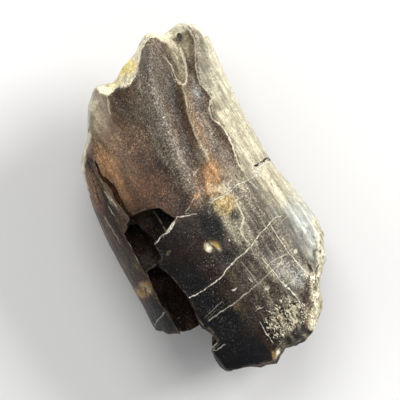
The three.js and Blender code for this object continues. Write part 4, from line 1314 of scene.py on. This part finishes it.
def notch_coat(coat, coarse, fine):
    return coat.other("cream").lay("khaki", ramp(coarse + fine, 0.1, 0.6)).lay("umber", 0.85)


BROKEN_COATS = {
    "rest": dentine_coat, "facet": facet_coat, "break": break_coat, "window": window_coat,
    "crumble": crumble_coat, "chip": chip_coat, "pit": pit_coat, "notch": notch_coat,
}
KINDS = ("enamel", *BROKEN_COATS)
# Places of the materials in the list of the tooth.
ENAMEL_PLACE, BROKEN_PLACE, FACET_PLACE = 0, 1, 2


def broken_paints(points, palette):
    """Colour of every kind of broken face at each point."""
    coarse = layered_noise(points, BREAK_CLOUDS, seed=111)
    fine = layered_noise(points, BREAK_SPECKS, seed=115)
    coat = Coat(points, palette, "umber")
    return [paint(coat, coarse, fine).colours for paint in BROKEN_COATS.values()]


# ---- what the tooth's mesh carries ----


def read_values(items, name, kind, width=1):
    values = np.zeros(len(items) * width, kind)
    items.foreach_get(name, values)
    return values


def write_value(mesh, name, values):
    layer = mesh.attributes.new(name, "FLOAT", "POINT")
    layer.data.foreach_set("value", np.asarray(values, np.float32))


def paint_tooth(tooth, marks, palette):
    """Writes every colour, line and mask, and gives the place of each face's material."""
    mesh = tooth.data
    points = read_values(mesh.vertices, "co", np.float32, 3).reshape(-1, 3).astype(float) / MM
    names = [slot.name.removeprefix("mark_") if slot else KINDS[0] for slot in mesh.materials]
    kind_numbers = np.array([KINDS.index(name) for name in names])
    kind_of_face = kind_numbers[read_values(mesh.polygons, "material_index", np.int32)]
    kind_of_corner = np.repeat(kind_of_face, read_values(mesh.polygons, "loop_total", np.int32))
    vertex_of_corner = read_values(mesh.loops, "vertex_index", np.int32)
    paints = np.stack([face_paint(points, palette), *broken_paints(points, palette)])
    colours = np.ones((len(mesh.loops), 4), np.float32)
    colours[:, :3] = np.clip(paints[kind_of_corner, vertex_of_corner], 0, 1)
    mesh.attributes.new("paint", "FLOAT_COLOR", "CORNER").data.foreach_set("color", colours.ravel())
    write_lines(mesh, points)
    for name, density in (("fleck", fleck_density), ("sand", sand_contrast), ("grit", grit_density)):
        write_value(mesh, name, density(points))
    write_edge_distance(mesh, points, kind_of_corner, vertex_of_corner)
    mesh.materials.clear()
    for mark in marks.values():
        bpy.data.materials.remove(mark)
    place_of_kind = np.full(len(KINDS), BROKEN_PLACE, np.int32)
    place_of_kind[0] = ENAMEL_PLACE
    place_of_kind[KINDS.index("facet")] = FACET_PLACE
    return place_of_kind[kind_of_face]


def write_lines(mesh, points):
    """The distance and strength of each kind of line, wobbled so that none is too even."""
    x = points[:, 0] + layered_noise(points, CRACK_WOBBLE, seed=71)
    y = points[:, 1] + layered_noise(points, CRACK_WOBBLE, seed=72)
    top = ramp(points[:, 2], 4, 5.5)
    for name, lines in LINES.items():
        signed, strength = nearest_line(x, y, lines)
        write_value(mesh, name, signed)
        write_value(mesh, name + "_strength", strength * top)


def fleck_density(points):
    """How coarse and bright the sandy grain is, with its pale specks partly painted glints: most on the main
    ridge and the right.
    """
    x, y, _ = points.T
    past = past_flank(x, y)
    ridge = table_value(FLECKED_RIDGE, y) * ridge_profile(x, y, MAIN_RIDGE["crest"], 1.15, 0.8)
    rim = 1 - ramp(line_distance(x, y, BASE_RIM[3:])[0], 0.3, 0.6)
    density = 0.3
    for weight, share in (
        (0.15, ramp(x + 0.2 * y, -0.5, 1)),
        (0.5, ridge),
        (0.3, ramp(x, 0.3, 1.5) * (1 - ramp(past, -0.2, 0.3))),
        (0.25, np.exp(-(((x + 0.5) / 0.8) ** 2)) * ramp(y, 3, 6)),
        (-0.2, np.exp(-(((x + 2.2) / 1.1) ** 2)) * ramp(y, 6, 8)),
        (-0.3, ramp(-y, 7.8, 8.6) * ramp(-x, 0.4, 0.9)),
        (-0.35, ramp(past, 0, 0.5)),
        (-0.5, rim),
        (-0.14, ramp(-y, -4.5, -2.5) * ramp(0.5 * np.minimum(y, 0) - x, -0.3, 0.3)),
        (0.3, noise(points, 0.8, seed=121)),
    ):
        density = density + weight * share
    return np.clip(density, 0, 1)


def sand_contrast(points):
    """How strongly the sandy grain lightens and darkens: least on the flank and the pale rims of the tip."""
    x, y, _ = points.T
    contrast = 0.95 + 0.3 * ridge_profile(x, y, MAIN_RIDGE["crest"], 0.9, 0.8) * ramp(y, 0, 2)
    for x0, y0, half_width, half_length, drop in SMOOTHER:
        reach = np.hypot((x - x0) / half_width, (y - y0) / half_length)
        contrast = contrast - drop * (1 - ramp(reach, 0.6, 1.2))
    rims = np.min([line_distance(x, y, rim[3:])[0] for rim in TIP_RIMS], axis=0)
    flank = ramp(past_flank(x, y), -0.1, 0.4)
    contrast = contrast - 0.65 * np.maximum(flank, 1 - ramp(rims, 0.2, 0.5))
    return np.clip(contrast + 0.25 * noise(points, 0.8, seed=123), 0.25, 1.6)


def grit_density(points):
    """Where loose mineral grains cling: on the crumbled foot, but not on its smooth lobe."""
    x, y, z = points.T
    middle = divided(CRUMBLED_PATCH["outline"], 0.4, closed=True).mean(axis=0)
    patch = 1 - ramp(np.hypot((x - middle[0]) / 1.55, (y - middle[1]) / 1.3), 0.6, 1.15)
    lobe = np.hypot((x - BASE_LOBE["x"]) / 1.1, (y - BASE_LOBE["y"]) / 0.6) < 1
    return np.where((z > 8) & ~lobe, patch, 0)


def write_edge_distance(mesh, points, kind_of_corner, vertex_of_corner):
    """How far each vertex lies from a broken edge, more where it is less worn, and its wear."""
    outer = np.zeros(len(points), bool)
    broken = np.zeros(len(points), bool)
    is_outer = kind_of_corner == 0
    outer[vertex_of_corner[is_outer]] = True
    broken[vertex_of_corner[~is_outer & (kind_of_corner != KINDS.index("crumble"))]] = True
    edge = np.flatnonzero(outer & broken)
    tree = KDTree(len(edge))
    for k, vertex in enumerate(edge):
        tree.insert(points[vertex], k)
    tree.balance()
    distance = np.array([tree.find(point)[2] for point in points])
    wear = np.full(len(points), LEAST_WEAR)
    for x, y, half_width, half_length, strength in EDGE_WEAR:
        reach = np.hypot((points[:, 0] - x) / half_width, (points[:, 1] - y) / half_length)
        wear = np.maximum(wear, strength * (1 - ramp(reach, 0.8, 1.2)))
    write_value(mesh, "from_edge", distance * (2.5 - 1.5 * wear))
    write_value(mesh, "edge_wear", wear)


# ---- materials ----

SPECULAR_LEVEL = 0.2
# Colours that a node group starts from before it is given others.
DARK = (0.1, 0.1, 0.1, 1)
PALE = (0.8, 0.8, 0.7, 1)
# Sockets of the mix node that work on colours.
MIX_SHARE, MIX_FIRST, MIX_SECOND, MIX_RESULT = 0, 6, 7, 2


class Nodes:
    """Adds nodes to a tree and joins them."""

    def __init__(self, tree):
        self.tree = tree
        self.count = 0

    def add(self, kind, **options):
        """A node with its settings, in small letters, and its inputs, which have a capital."""
        node = self.tree.nodes.new(kind)
        self.count += 1
        node.location = (180 * (self.count % 8) - 900, 300 - 200 * (self.count // 8))
        for name, value in options.items():
            if name.islower():
                setattr(node, name, value)
        for name, value in options.items():
            if not name.islower():
                self.give(node.inputs[name.replace("_", " ")], value)
        return node

    def give(self, socket, value):
        if isinstance(value, bpy.types.NodeSocket):
            self.tree.links.new(value, socket)
        else:
            socket.default_value = value

    def math(self, operation, *values, clamp=False):
        made = self.add("ShaderNodeMath", operation=operation, use_clamp=clamp)
        for socket, value in zip(made.inputs, values):
            self.give(socket, value)
        return made.outputs[0]

    def times(self, first, second):
        return self.math("MULTIPLY", first, second)

    def plus(self, first, second):
        return self.math("ADD", first, second)

    def scaled(self, vector, factor):
        made = self.add("ShaderNodeVectorMath", operation="SCALE", Scale=factor)
        self.give(made.inputs[0], vector)
        return made.outputs[0]

    def attribute(self, name, output="Fac"):
        return self.add("ShaderNodeAttribute", attribute_name=name).outputs[output]

    def group(self, name, **inputs):
        return self.add("ShaderNodeGroup", node_tree=bpy.data.node_groups[name], **inputs).outputs

    def mix(self, share, first, second):
        made = self.add("ShaderNodeMix", data_type="RGBA")
        for place, value in ((MIX_SHARE, share), (MIX_FIRST, first), (MIX_SECOND, second)):
            self.give(made.inputs[place], value)
        return made.outputs[MIX_RESULT]

    def span(self, value, low, high, to_low=0.0, to_high=1.0):
        """Carries a value from one range to another, smoothly and held at the ends."""
        return self.add(
            "ShaderNodeMapRange", interpolation_type="SMOOTHSTEP", Value=value, From_Min=low,
            From_Max=high, To_Min=to_low, To_Max=to_high,
        ).outputs[0]

    def stretched(self, *scale):
        """Object coordinates in millimetres, times a scale along each axis."""
        place = self.add("ShaderNodeTexCoord").outputs["Object"]
        return self.add("ShaderNodeMapping", Vector=place, Scale=[part / MM for part in scale]).outputs[0]

    def noise(self, vector, scale, detail=2.0, roughness=0.5):
        return self.add(
            "ShaderNodeTexNoise", Vector=vector, Scale=scale, Detail=detail, Roughness=roughness
        ).outputs[0]


def new_material(name):
    made = bpy.data.materials.new(name)
    made.use_nodes = True
    made.node_tree.nodes.clear()
    return made, Nodes(made.node_tree)


def finish(nodes, colour, roughness, height=None, depth=0.0, strength=1.0):
    """Ends a material with its shader, with a bump where a height is given."""
    shader = nodes.add(
        "ShaderNodeBsdfPrincipled", Base_Color=colour, Roughness=roughness,
        Specular_IOR_Level=SPECULAR_LEVEL,
    )
    if height is not None:
        bump = nodes.add("ShaderNodeBump", Height=height, Strength=strength, Distance=depth)
        nodes.give(shader.inputs["Normal"], bump.outputs[0])
    nodes.add("ShaderNodeOutputMaterial", Surface=shader.outputs[0])


def new_group(name, inputs, outputs):
    """A shader node group whose sockets hold a colour where the label says so, else a float."""
    tree = bpy.data.node_groups.new(name, "ShaderNodeTree")
    for way, labels in (("INPUT", inputs), ("OUTPUT", outputs)):
        for label in labels:
            kind = "NodeSocketColor" if "Colour" in label else "NodeSocketFloat"
            socket = tree.interface.new_socket(label, in_out=way, socket_type=kind)
            if way == "INPUT":
                socket.default_value = inputs[label]
    nodes = Nodes(tree)
    return nodes, nodes.add("NodeGroupInput").outputs, nodes.add("NodeGroupOutput").inputs


def fleck_group():
    """Sandy grain: lightens and darkens a colour finely and sets pale specks on it, partly mineral dust and
    partly painted glints.
    """
    nodes, given, made = new_group(
        "mineral_flecks",
        {"Colour": DARK, "Fleck Colour": PALE, "Amount": 0.5, "Size": 0.12, "Mottle": 1},
        ("Colour", "Height"),
    )
    place = nodes.stretched(1, 0.8, 1)
    scale = nodes.math("DIVIDE", 1, given["Size"])
    sand = nodes.noise(place, scale, 2, 0.6)
    drift = nodes.noise(place, nodes.times(scale, 0.22))
    shade = nodes.times(nodes.plus(sand, -0.5), given["Mottle"])
    shade = nodes.math("EXPONENT", nodes.plus(shade, nodes.plus(drift, -0.5)))
    dust = nodes.noise(place, nodes.times(scale, 1.35), 1)
    low = nodes.math("MULTIPLY_ADD", given["Amount"], -0.12, 0.815)
    low = nodes.math("MULTIPLY_ADD", drift, -0.12, low)
    specks = nodes.span(nodes.math("SUBTRACT", dust, low), 0, 0.08, 0, 0.85)
    haze = nodes.times(nodes.span(sand, 0.5, 0.8, 0, 0.16), given["Amount"])
    share = nodes.math("MAXIMUM", specks, haze)
    mottled = nodes.scaled(given["Colour"], shade)
    nodes.give(made["Colour"], nodes.mix(share, mottled, given["Fleck Colour"]))
    nodes.give(made["Height"], nodes.plus(sand, nodes.times(share, 0.4)))


def streak_group():
    """Fine growth lines along the tooth, lighter and darker."""
    nodes, given, made = new_group(
        "growth_streaks", {"Colour": DARK, "Contrast": 0.3, "Width": 0.2}, ("Colour", "Height")
    )
    scale = nodes.math("DIVIDE", 1, given["Width"])
    lines = nodes.noise(nodes.stretched(1, 0.06, 0.5), scale, 3, 0.6)
    shade = nodes.math("MULTIPLY_ADD", nodes.plus(lines, -0.5), given["Contrast"], 1)
    nodes.give(made["Colour"], nodes.scaled(given["Colour"], shade))
    nodes.give(made["Height"], lines)


def line_group():
    """A crisp line where a signed distance in mm passes zero, as strong as given."""
    nodes, given, made = new_group(
        "fine_line", {"Distance": 1, "Strength": 0, "Half Width": 0.05, "Softness": 0.03}, ("Share",)
    )
    place = nodes.stretched(1, 1, 1)
    uneven = nodes.span(nodes.noise(place, 6, 3), 0.35, 0.68, 0.1, 2.2)
    width = nodes.times(given["Half Width"], uneven)
    away = nodes.math("SUBTRACT", nodes.math("ABSOLUTE", given["Distance"]), width)
    share = nodes.times(nodes.span(away, given["Softness"], 0), given["Strength"])
    faint = nodes.span(nodes.noise(place, 2.2, 4, 0.65), 0.34, 0.54, 0.35, 1)
    nodes.give(made["Share"], nodes.times(share, faint))


def enamel_material(tints, looks):
    """Satin enamel: painted stains, growth streaks, flecks that are partly painted glints, cracks and pale
    worn lines.
    """
    made, nodes = new_material("fossil_enamel")
    streaks = nodes.group(
        "growth_streaks", Colour=nodes.attribute("paint", "Color"), Width=0.16,
        Contrast=looks.streak_contrast,
    )
    flecks = nodes.group(
        "mineral_flecks", Colour=streaks["Colour"], Fleck_Colour=tints["fleck"], Size=0.095,
        Amount=nodes.times(nodes.attribute("fleck"), looks.fleck_amount),
        Mottle=nodes.times(nodes.attribute("sand"), looks.mottle),
    )
    colour = flecks["Colour"]
    shares = []
    for name, half_width, softness, tint in (
        ("pale_line", looks.pale_line_width, 0.055, "cream"),
        ("dark_line", looks.crack_width * 3, 0.05, "bitumen"),
        ("long_crack", looks.crack_width, 0.034, "crack"),
        ("cross_crack", looks.crack_width * 1.9, 0.032, "crack"),
    ):
        shares.append(nodes.group(
            "fine_line", Distance=nodes.attribute(name), Half_Width=half_width, Softness=softness,
            Strength=nodes.attribute(name + "_strength"),
        )["Share"])
        colour = nodes.mix(shares[-1], colour, tints[tint])
    edge = nodes.span(nodes.attribute("from_edge"), looks.edge_wear, 0.02)
    ragged = nodes.span(nodes.noise(nodes.stretched(1, 1, 1), 3.5, 3), 0.4, 0.62)
    edge = nodes.times(nodes.times(edge, ragged), nodes.attribute("edge_wear"))
    cracks = nodes.math("MAXIMUM", shares[1], nodes.math("MAXIMUM", shares[2], shares[3]))
    grain = nodes.noise(nodes.stretched(1, 0.7, 1), 11, 3, 0.65)
    height = nodes.plus(nodes.times(grain, 0.7), nodes.times(streaks["Height"], 0.5))
    height = nodes.plus(height, nodes.times(flecks["Height"], 0.6))
    height = nodes.math("SUBTRACT", height, nodes.times(cracks, 1.2))
    rough = nodes.span(grain, 0.3, 0.7, looks.gloss_roughness - 0.08, looks.gloss_roughness + 0.1)
    rough = nodes.math("ADD", rough, nodes.times(edge, 0.3), clamp=True)
    finish(nodes, nodes.mix(edge, colour, tints["bone"]), rough, height, looks.bump_depth)
    return made


def broken_material(tints, looks):
    """Rough broken dentine: painted colour, grit and small pores."""
    made, nodes = new_material("broken_dentine")
    flecks = nodes.group(
        "mineral_flecks", Colour=nodes.attribute("paint", "Color"), Fleck_Colour=tints["fleck"],
        Amount=0.5, Size=0.14, Mottle=looks.mottle * 0.4,
    )
    place = nodes.stretched(1, 1, 1)
    coarse = nodes.noise(place, 4, 4, 0.7)
    fine = nodes.noise(place, 14, 3)
    pores = nodes.times(nodes.span(coarse, 0.38, 0.3), 0.6)
    height = nodes.plus(nodes.times(coarse, 1.5), nodes.times(fine, 0.6))
    colour = nodes.mix(pores, flecks["Colour"], tints["bitumen"])
    finish(nodes, colour, nodes.span(fine, 0.3, 0.7, 0.55, 0.8), height, looks.bump_depth * 2.5)
    return made


def facet_material(tints, looks):
    """The chewing facet: dentine polished by wear, with scratches up and down it."""
    made, nodes = new_material("ground_facet")
    streaks = nodes.group(
        "growth_streaks", Colour=nodes.attribute("paint", "Color"), Contrast=0.5, Width=0.3
    )
    flecks = nodes.group(
        "mineral_flecks", Colour=streaks["Colour"], Fleck_Colour=tints["fleck"], Amount=0.3,
        Size=0.13, Mottle=looks.mottle * 0.22,
    )
    height = nodes.plus(streaks["Height"], nodes.times(flecks["Height"], 0.5))
    rough = nodes.span(flecks["Height"], 0.3, 0.8, 0.32, 0.5)
    finish(nodes, flecks["Colour"], rough, height, looks.bump_depth)
    return made


def grain_material(tints):
    """Loose mineral grains, cream to amber, one tone each."""
    made, nodes = new_material("mineral_grain")
    place = nodes.stretched(1, 1, 1)
    tone = nodes.noise(place, 2.5, 1)
    colour = nodes.mix(nodes.span(tone, 0.25, 0.45), tints["brown"], tints["cream"])
    colour = nodes.mix(nodes.span(tone, 0.6, 0.7), colour, tints["ochre"])
    grain = nodes.noise(place, 18, 2)
    finish(nodes, colour, nodes.span(grain, 0.3, 0.7, 0.3, 0.55), grain, 1e-5, 0.6)
    return made


# ---- mineral grains ----

# Least and greatest turn and size of a grain along each axis.
GRAIN_TURN = ((-0.3, -0.3, -0.6), (0.3, 0.3, 0.6))
GRAIN_SHAPE = ((0.5, 1.2, 0.4), (0.9, 2.6, 0.7))


def grain_tree():
    """Geometry nodes that scatter small lumps where the grit attribute is high."""
    tree = bpy.data.node_groups.new("scatter_grains", "GeometryNodeTree")
    for label, kind in (
        ("Surface", "Geometry"), ("Density", "Float"), ("Smallest", "Float"), ("Largest", "Float"),
        ("Seed", "Int"), ("Material", "Material"),
    ):
        tree.interface.new_socket(label, in_out="INPUT", socket_type="NodeSocket" + kind)
    tree.interface.new_socket("Grains", in_out="OUTPUT", socket_type="NodeSocketGeometry")
    nodes = Nodes(tree)
    given = nodes.add("NodeGroupInput").outputs

    def random_vector(limits, seed):
        made = nodes.add("FunctionNodeRandomValue", data_type="FLOAT_VECTOR", Seed=seed)
        made.inputs[0].default_value, made.inputs[1].default_value = limits
        return made.outputs[0]

    grit = nodes.add("GeometryNodeInputNamedAttribute", data_type="FLOAT", Name="grit").outputs[0]
    scatter = nodes.add(
        "GeometryNodeDistributePointsOnFaces", Mesh=given["Surface"], Seed=given["Seed"],
        Density=nodes.times(grit, given["Density"]),
    )
    lump = nodes.add("GeometryNodeMeshIcoSphere", Radius=1, Subdivisions=1).outputs[0]
    size = nodes.add("FunctionNodeRandomValue", data_type="FLOAT", Seed=2).outputs[1]
    across = nodes.math("SUBTRACT", given["Largest"], given["Smallest"])
    radius = nodes.math("MULTIPLY_ADD", nodes.math("POWER", size, 3), across, given["Smallest"])
    placed = nodes.add(
        "GeometryNodeInstanceOnPoints", Points=scatter.outputs["Points"], Instance=lump,
        Rotation=random_vector(GRAIN_TURN, seed=1),
        Scale=nodes.scaled(random_vector(GRAIN_SHAPE, seed=3), radius),
    )
    real = nodes.add("GeometryNodeRealizeInstances", Geometry=placed.outputs[0]).outputs[0]
    done = nodes.add("GeometryNodeSetMaterial", Geometry=real, Material=given["Material"])
    nodes.give(nodes.add("NodeGroupOutput").inputs[0], done.outputs[0])
    return tree


# ---- settings ----


def tint(name, description, *levels):
    """A colour setting whose default is given as display levels from 0 to 255."""
    return FloatVectorProperty(
        name=name, description=description, default=[level / 255 for level in levels],
        subtype="COLOR_GAMMA", min=0, max=1, size=3,
    )


def number(name, description, default, **limits):
    return FloatProperty(name=name, description=description, default=default, **limits)


def length(name, description, default):
    return number(name, description, default, unit="LENGTH", precision=6)


class ToothPalette(bpy.types.PropertyGroup):
    """Colours of the enamel, its stains and the broken faces, and of the painted sheen, highlights and
    shade.
    """

    brown: tint("Brown", "Enamel of the upper face", 108, 84, 64)
    # Umber: in the valleys partly painted shade.
    umber: tint("Umber", "Dark brown of the valleys and the strip", 66, 50, 40)
    bitumen: tint("Bitumen", "Near black of the lower plates", 30, 25, 23)
    maroon: tint("Maroon", "Dark red of the lower plates and the hollow", 49, 34, 28)
    slate: tint("Slate", "Blue black of the lower plates", 29, 30, 33)
    # Slate grey: partly painted shade in the valley beside the main ridge.
    slate_grey: tint("Slate grey", "Grey of the valley beside the main ridge", 84, 79, 75)
    # Grey brown: also painted shade in the flank's grooves and across the tip's pit.
    grey_brown: tint("Grey brown", "Lower right of the face", 104, 96, 84)
    # Warm grey: the left lobe, partly its painted sheen, and the chewing facet.
    warm_grey: tint("Warm grey", "Left lobe", 140, 124, 104)
    # Silver: painted sheen of the main ridge and the left lobe; elsewhere a pale grey of its own, as on the
    # crumbled foot.
    silver: tint("Silver", "Sheen of the main ridge", 144, 134, 120)
    mauve: tint("Mauve", "Right of the second ridge", 136, 123, 110)
    tan: tint("Tan", "Left of the face", 146, 118, 90)
    orange_tan: tint("Orange tan", "Warm stains", 186, 146, 108)
    rust: tint("Rust", "Iron stain in the middle", 218, 172, 124)
    ochre: tint("Ochre", "Yellow brown stains", 172, 142, 92)
    olive: tint("Olive", "Greenish brown stains", 104, 94, 70)
    pink_brown: tint("Pink brown", "Top of the side strip", 140, 101, 73)
    # Khaki: dull hollows of the tip and the flank, partly painted shade in the flank's grooves.
    khaki: tint("Khaki", "Dull hollows of the tip and the flank", 152, 142, 116)
    red_brown: tint("Red brown", "Reddish middle left and the gap", 112, 80, 54)
    # Bone: worn edges and swells, and a painted highlight on the top of the left lobe.
    bone: tint("Bone", "Worn edges and swells", 190, 180, 155)
    # Cream: worn tip and right flank, and painted highlight on the rims of the tip, the top of the left lobe
    # and the upper right edge of the flank.
    cream: tint("Cream", "Worn tip and right flank", 236, 228, 200)
    yellow_cream: tint("Yellow cream", "Bare dentine at the tip", 253, 231, 160)
    pale_blue: tint("Pale blue", "Lower right flank", 212, 216, 208)
    # Fleck: pale specks of mineral dust and painted glints.
    fleck: tint("Fleck", "Mineral flecks", 214, 206, 188)
    # Crack: mineral in the cracks, and painted highlight on the rims of the tip.
    crack: tint("Crack", "Mineral in the cracks", 252, 244, 224)
    depth: number("Depth", "Darkens all the colours against the floor", 0.82, min=0, max=1, subtype="FACTOR")
    contrast: number("Contrast", "Darkens the dark colours more than the pale", 1.16, min=0.5, max=2)


class ToothLooks(bpy.types.PropertyGroup):
    """Sizes and strengths of the surface finish."""

    crack_width: number("Crack half width", "Half width of a filled crack in mm", 0.009, min=0)
    pale_line_width: number("Pale line half width", "Half width of a worn line in mm", 0.026, min=0)
    edge_wear: number("Edge wear", "Reach of the pale rim along the breaks in mm", 0.4, min=0)
    # The flecks are partly painted glints.
    fleck_amount: number("Flecks", "How many mineral flecks show", 1, min=0, max=2, subtype="FACTOR")
    mottle: number("Mottle", "Contrast of the sandy grain", 5, min=0)
    streak_contrast: number("Streaks", "Contrast of the growth streaks", 1.3, min=0)
    gloss_roughness: number("Roughness", "Roughness of the enamel", 0.4, min=0, max=1, subtype="FACTOR")
    bump_depth: length("Grain depth", "Depth of the finest grain", 3.8e-5)


class GrainSettings(bpy.types.PropertyGroup):
    """The loose mineral grains."""

    density: number("Density", "Grains to a square metre where grit is full", 8e7, min=0)
    smallest: length("Smallest", "Least grain radius", 2.2e-5)
    largest: length("Largest", "Greatest grain radius", 7.5e-5)
    seed: IntProperty(name="Seed", description="Seed of the scatter", default=7)


class StageSettings(bpy.types.PropertyGroup):
    """Floor, lights and camera."""

    floor_size: length("Floor", "Side of the floor", 3)
    floor_colour: tint("Floor colour", "Pale floor", 238, 237, 235)
    key_power: number("Key light", "Power of the key light", 2.3, unit="POWER")
    fill_power: number("Fill light", "Power of the fill light", 0.4, unit="POWER")
    top_power: number("Top light", "Power of the top light", 1.4, unit="POWER")
    sky: number("Sky", "Strength of the even light from all round", 0.3, min=0)
    lens: number("Lens", "Focal length in mm", 400, min=1)
    turn: number("Turn", "Turn of the camera about its sight", math.radians(-32), subtype="ANGLE")
    view_width: length("View width", "Width seen at the widest line of the tooth", 0.0258)


def display_palette(settings):
    """Each colour of the palette as a linear one, darkened as the settings say."""
    names = [name for name in ToothPalette.__annotations__ if name not in ("contrast", "depth")]
    return {name: linear(getattr(settings, name)) ** settings.contrast * settings.depth for name in names}


def rgba(colour):
    return (*[float(part) for part in colour], 1.0)


def shader_tints(palette):
    return {name: rgba(colour) for name, colour in palette.items()}


# ---- operators ----


class TOOTH_OT_body(bpy.types.Operator):
    """Builds, breaks and paints the tooth"""

    bl_idname = "fossil_tooth.body"
    bl_label = "Tooth"

    def execute(self, context):
        palette = display_palette(context.scene.tooth_palette)
        tooth, marks = broken_tooth("enamel_tooth")
        mesh = tooth.data
        if len(mesh.polygons) < COLUMNS * ROWS / 2:
            raise RuntimeError("the tooth was lost while it was broken")
        material_of_face = paint_tooth(tooth, marks, palette)
        for group in (fleck_group, streak_group, line_group):
            group()
        for material in (enamel_material, broken_material, facet_material):
            mesh.materials.append(material(shader_tints(palette), context.scene.tooth_looks))
        mesh.polygons.foreach_set("material_index", material_of_face)
        mesh.shade_smooth()
        mesh.set_sharp_from_angle(angle=math.radians(SHARP_ANGLE))
        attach(tooth, BODY)
        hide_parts(NODE)
        return {"FINISHED"}


class TOOTH_OT_grains(bpy.types.Operator):
    """Scatters the loose mineral grains over the tooth"""

    bl_idname = "fossil_tooth.grains"
    bl_label = "Mineral grains"

    def execute(self, context):
        settings = context.scene.tooth_grains
        source = bpy.data.objects.get("enamel_tooth")
        if source is None:
            raise RuntimeError("build the tooth before its grains")
        grains = bpy.data.objects.new("mineral_grains", source.data.copy())
        context.scene.collection.objects.link(grains)
        tree = grain_tree()
        modifier = grains.modifiers.new("scatter", "NODES")
        modifier.node_group = tree
        values = {
            "Density": settings.density, "Smallest": settings.smallest, "Largest": settings.largest,
            "Seed": settings.seed,
            "Material": grain_material(shader_tints(display_palette(context.scene.tooth_palette))),
        }
        for item in tree.interface.items_tree:
            if item.name in values:
                modifier[item.identifier] = values[item.name]
        evaluated(grains)
        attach(grains, BODY)
        return {"FINISHED"}


class TOOTH_OT_stage(bpy.types.Operator):
    """Makes the floor, the lights and the camera"""

    bl_idname = "fossil_tooth.stage"
    bl_label = "Stage"

    def execute(self, context):
        settings = context.scene.tooth_stage
        add_floor(settings)
        add_lights(settings)
        add_camera(context.scene, settings)
        return {"FINISHED"}


FLOOR_DROP = 0.02
STAGE_ROUGHNESS = 0.8
LIGHTS = (
    # name, setting, place in metres, side of the lamp in metres
    ("key_light", "key_power", (0.42, -0.02, 0.3), 0.22),
    ("fill_light", "fill_power", (-0.3, 0.2, 0.34), 0.4),
    ("top_light", "top_power", (0.1, 0.25, 0.5), 0.3),
)
SKY_COLOUR = (0.95, 0.97, 1, 1)
VIEW_CENTRE = (0.000441, 0.000222, 0.0055)
SENSOR_WIDTH = 36


def add_floor(settings):
    half = settings.floor_size / 2 / MM
    corners = ((-half, -half), (half, -half), (half, half), (-half, half))
    floor = mesh_object("floor", [(x, y, -FLOOR_DROP) for x, y in corners], [(0, 1, 2, 3)])
    material, nodes = new_material("pale_floor")
    finish(nodes, rgba(linear(settings.floor_colour)), STAGE_ROUGHNESS)
    floor.data.materials.append(material)


def add_lights(settings):
    for name, power, place, side in LIGHTS:
        lamp = bpy.data.lights.new(name, "AREA")
        lamp.energy = getattr(settings, power)
        lamp.size = side
        made = bpy.data.objects.new(name, lamp)
        made.location = place
        sight = Vector(VIEW_CENTRE) - Vector(place)
        made.rotation_euler = sight.to_track_quat("-Z", "Y").to_euler()
        bpy.context.scene.collection.objects.link(made)
    world = bpy.data.worlds.new("studio")
    world.use_nodes = True
    background = world.node_tree.nodes["Background"].inputs
    background["Color"].default_value = SKY_COLOUR
    background["Strength"].default_value = settings.sky
    bpy.context.scene.world = world


def add_camera(scene, settings):
    data = bpy.data.cameras.new("camera")
    data.lens = settings.lens
    data.sensor_width = SENSOR_WIDTH
    distance = settings.view_width * settings.lens / SENSOR_WIDTH
    data.clip_start = distance / 10
    data.clip_end = distance * 10
    camera = bpy.data.objects.new("camera", data)
    camera.location = Vector(VIEW_CENTRE) + Vector((0, 0, distance))
    camera.rotation_euler = (0, 0, settings.turn)
    scene.collection.objects.link(camera)
    scene.camera = camera
    scene.view_settings.view_transform = "Standard"


class TOOTH_PT_panel(bpy.types.Panel):
    """Lists the steps that build the tooth and its settings"""

    bl_idname = "TOOTH_PT_panel"
    bl_label = "Fossil tooth"
    bl_space_type = "VIEW_3D"
    bl_region_type = "UI"
    bl_category = "Fossil tooth"

    def draw(self, context):
        for operator in OPERATORS:
            self.layout.operator(operator.bl_idname)
        for name, kind in SETTINGS.items():
            box = self.layout.box()
            box.label(text=kind.__doc__)
            for setting in kind.__annotations__:
                box.prop(getattr(context.scene, name), setting)


OPERATORS = (TOOTH_OT_body, TOOTH_OT_grains, TOOTH_OT_stage)
SETTINGS = {
    "tooth_palette": ToothPalette,
    "tooth_looks": ToothLooks,
    "tooth_grains": GrainSettings,
    "tooth_stage": StageSettings,
}
CLASSES = (*SETTINGS.values(), *OPERATORS, TOOTH_PT_panel)


def register():
    for kind in CLASSES:
        bpy.utils.register_class(kind)
    for name, kind in SETTINGS.items():
        setattr(bpy.types.Scene, name, PointerProperty(type=kind))


def unregister():
    for name in SETTINGS:
        delattr(bpy.types.Scene, name)
    for kind in reversed(CLASSES):
        bpy.utils.unregister_class(kind)


def main():
    register()
    bpy.ops.fossil_tooth.body()
    bpy.ops.fossil_tooth.grains()
    bpy.ops.fossil_tooth.stage()


if __name__ == "__main__":
    main()
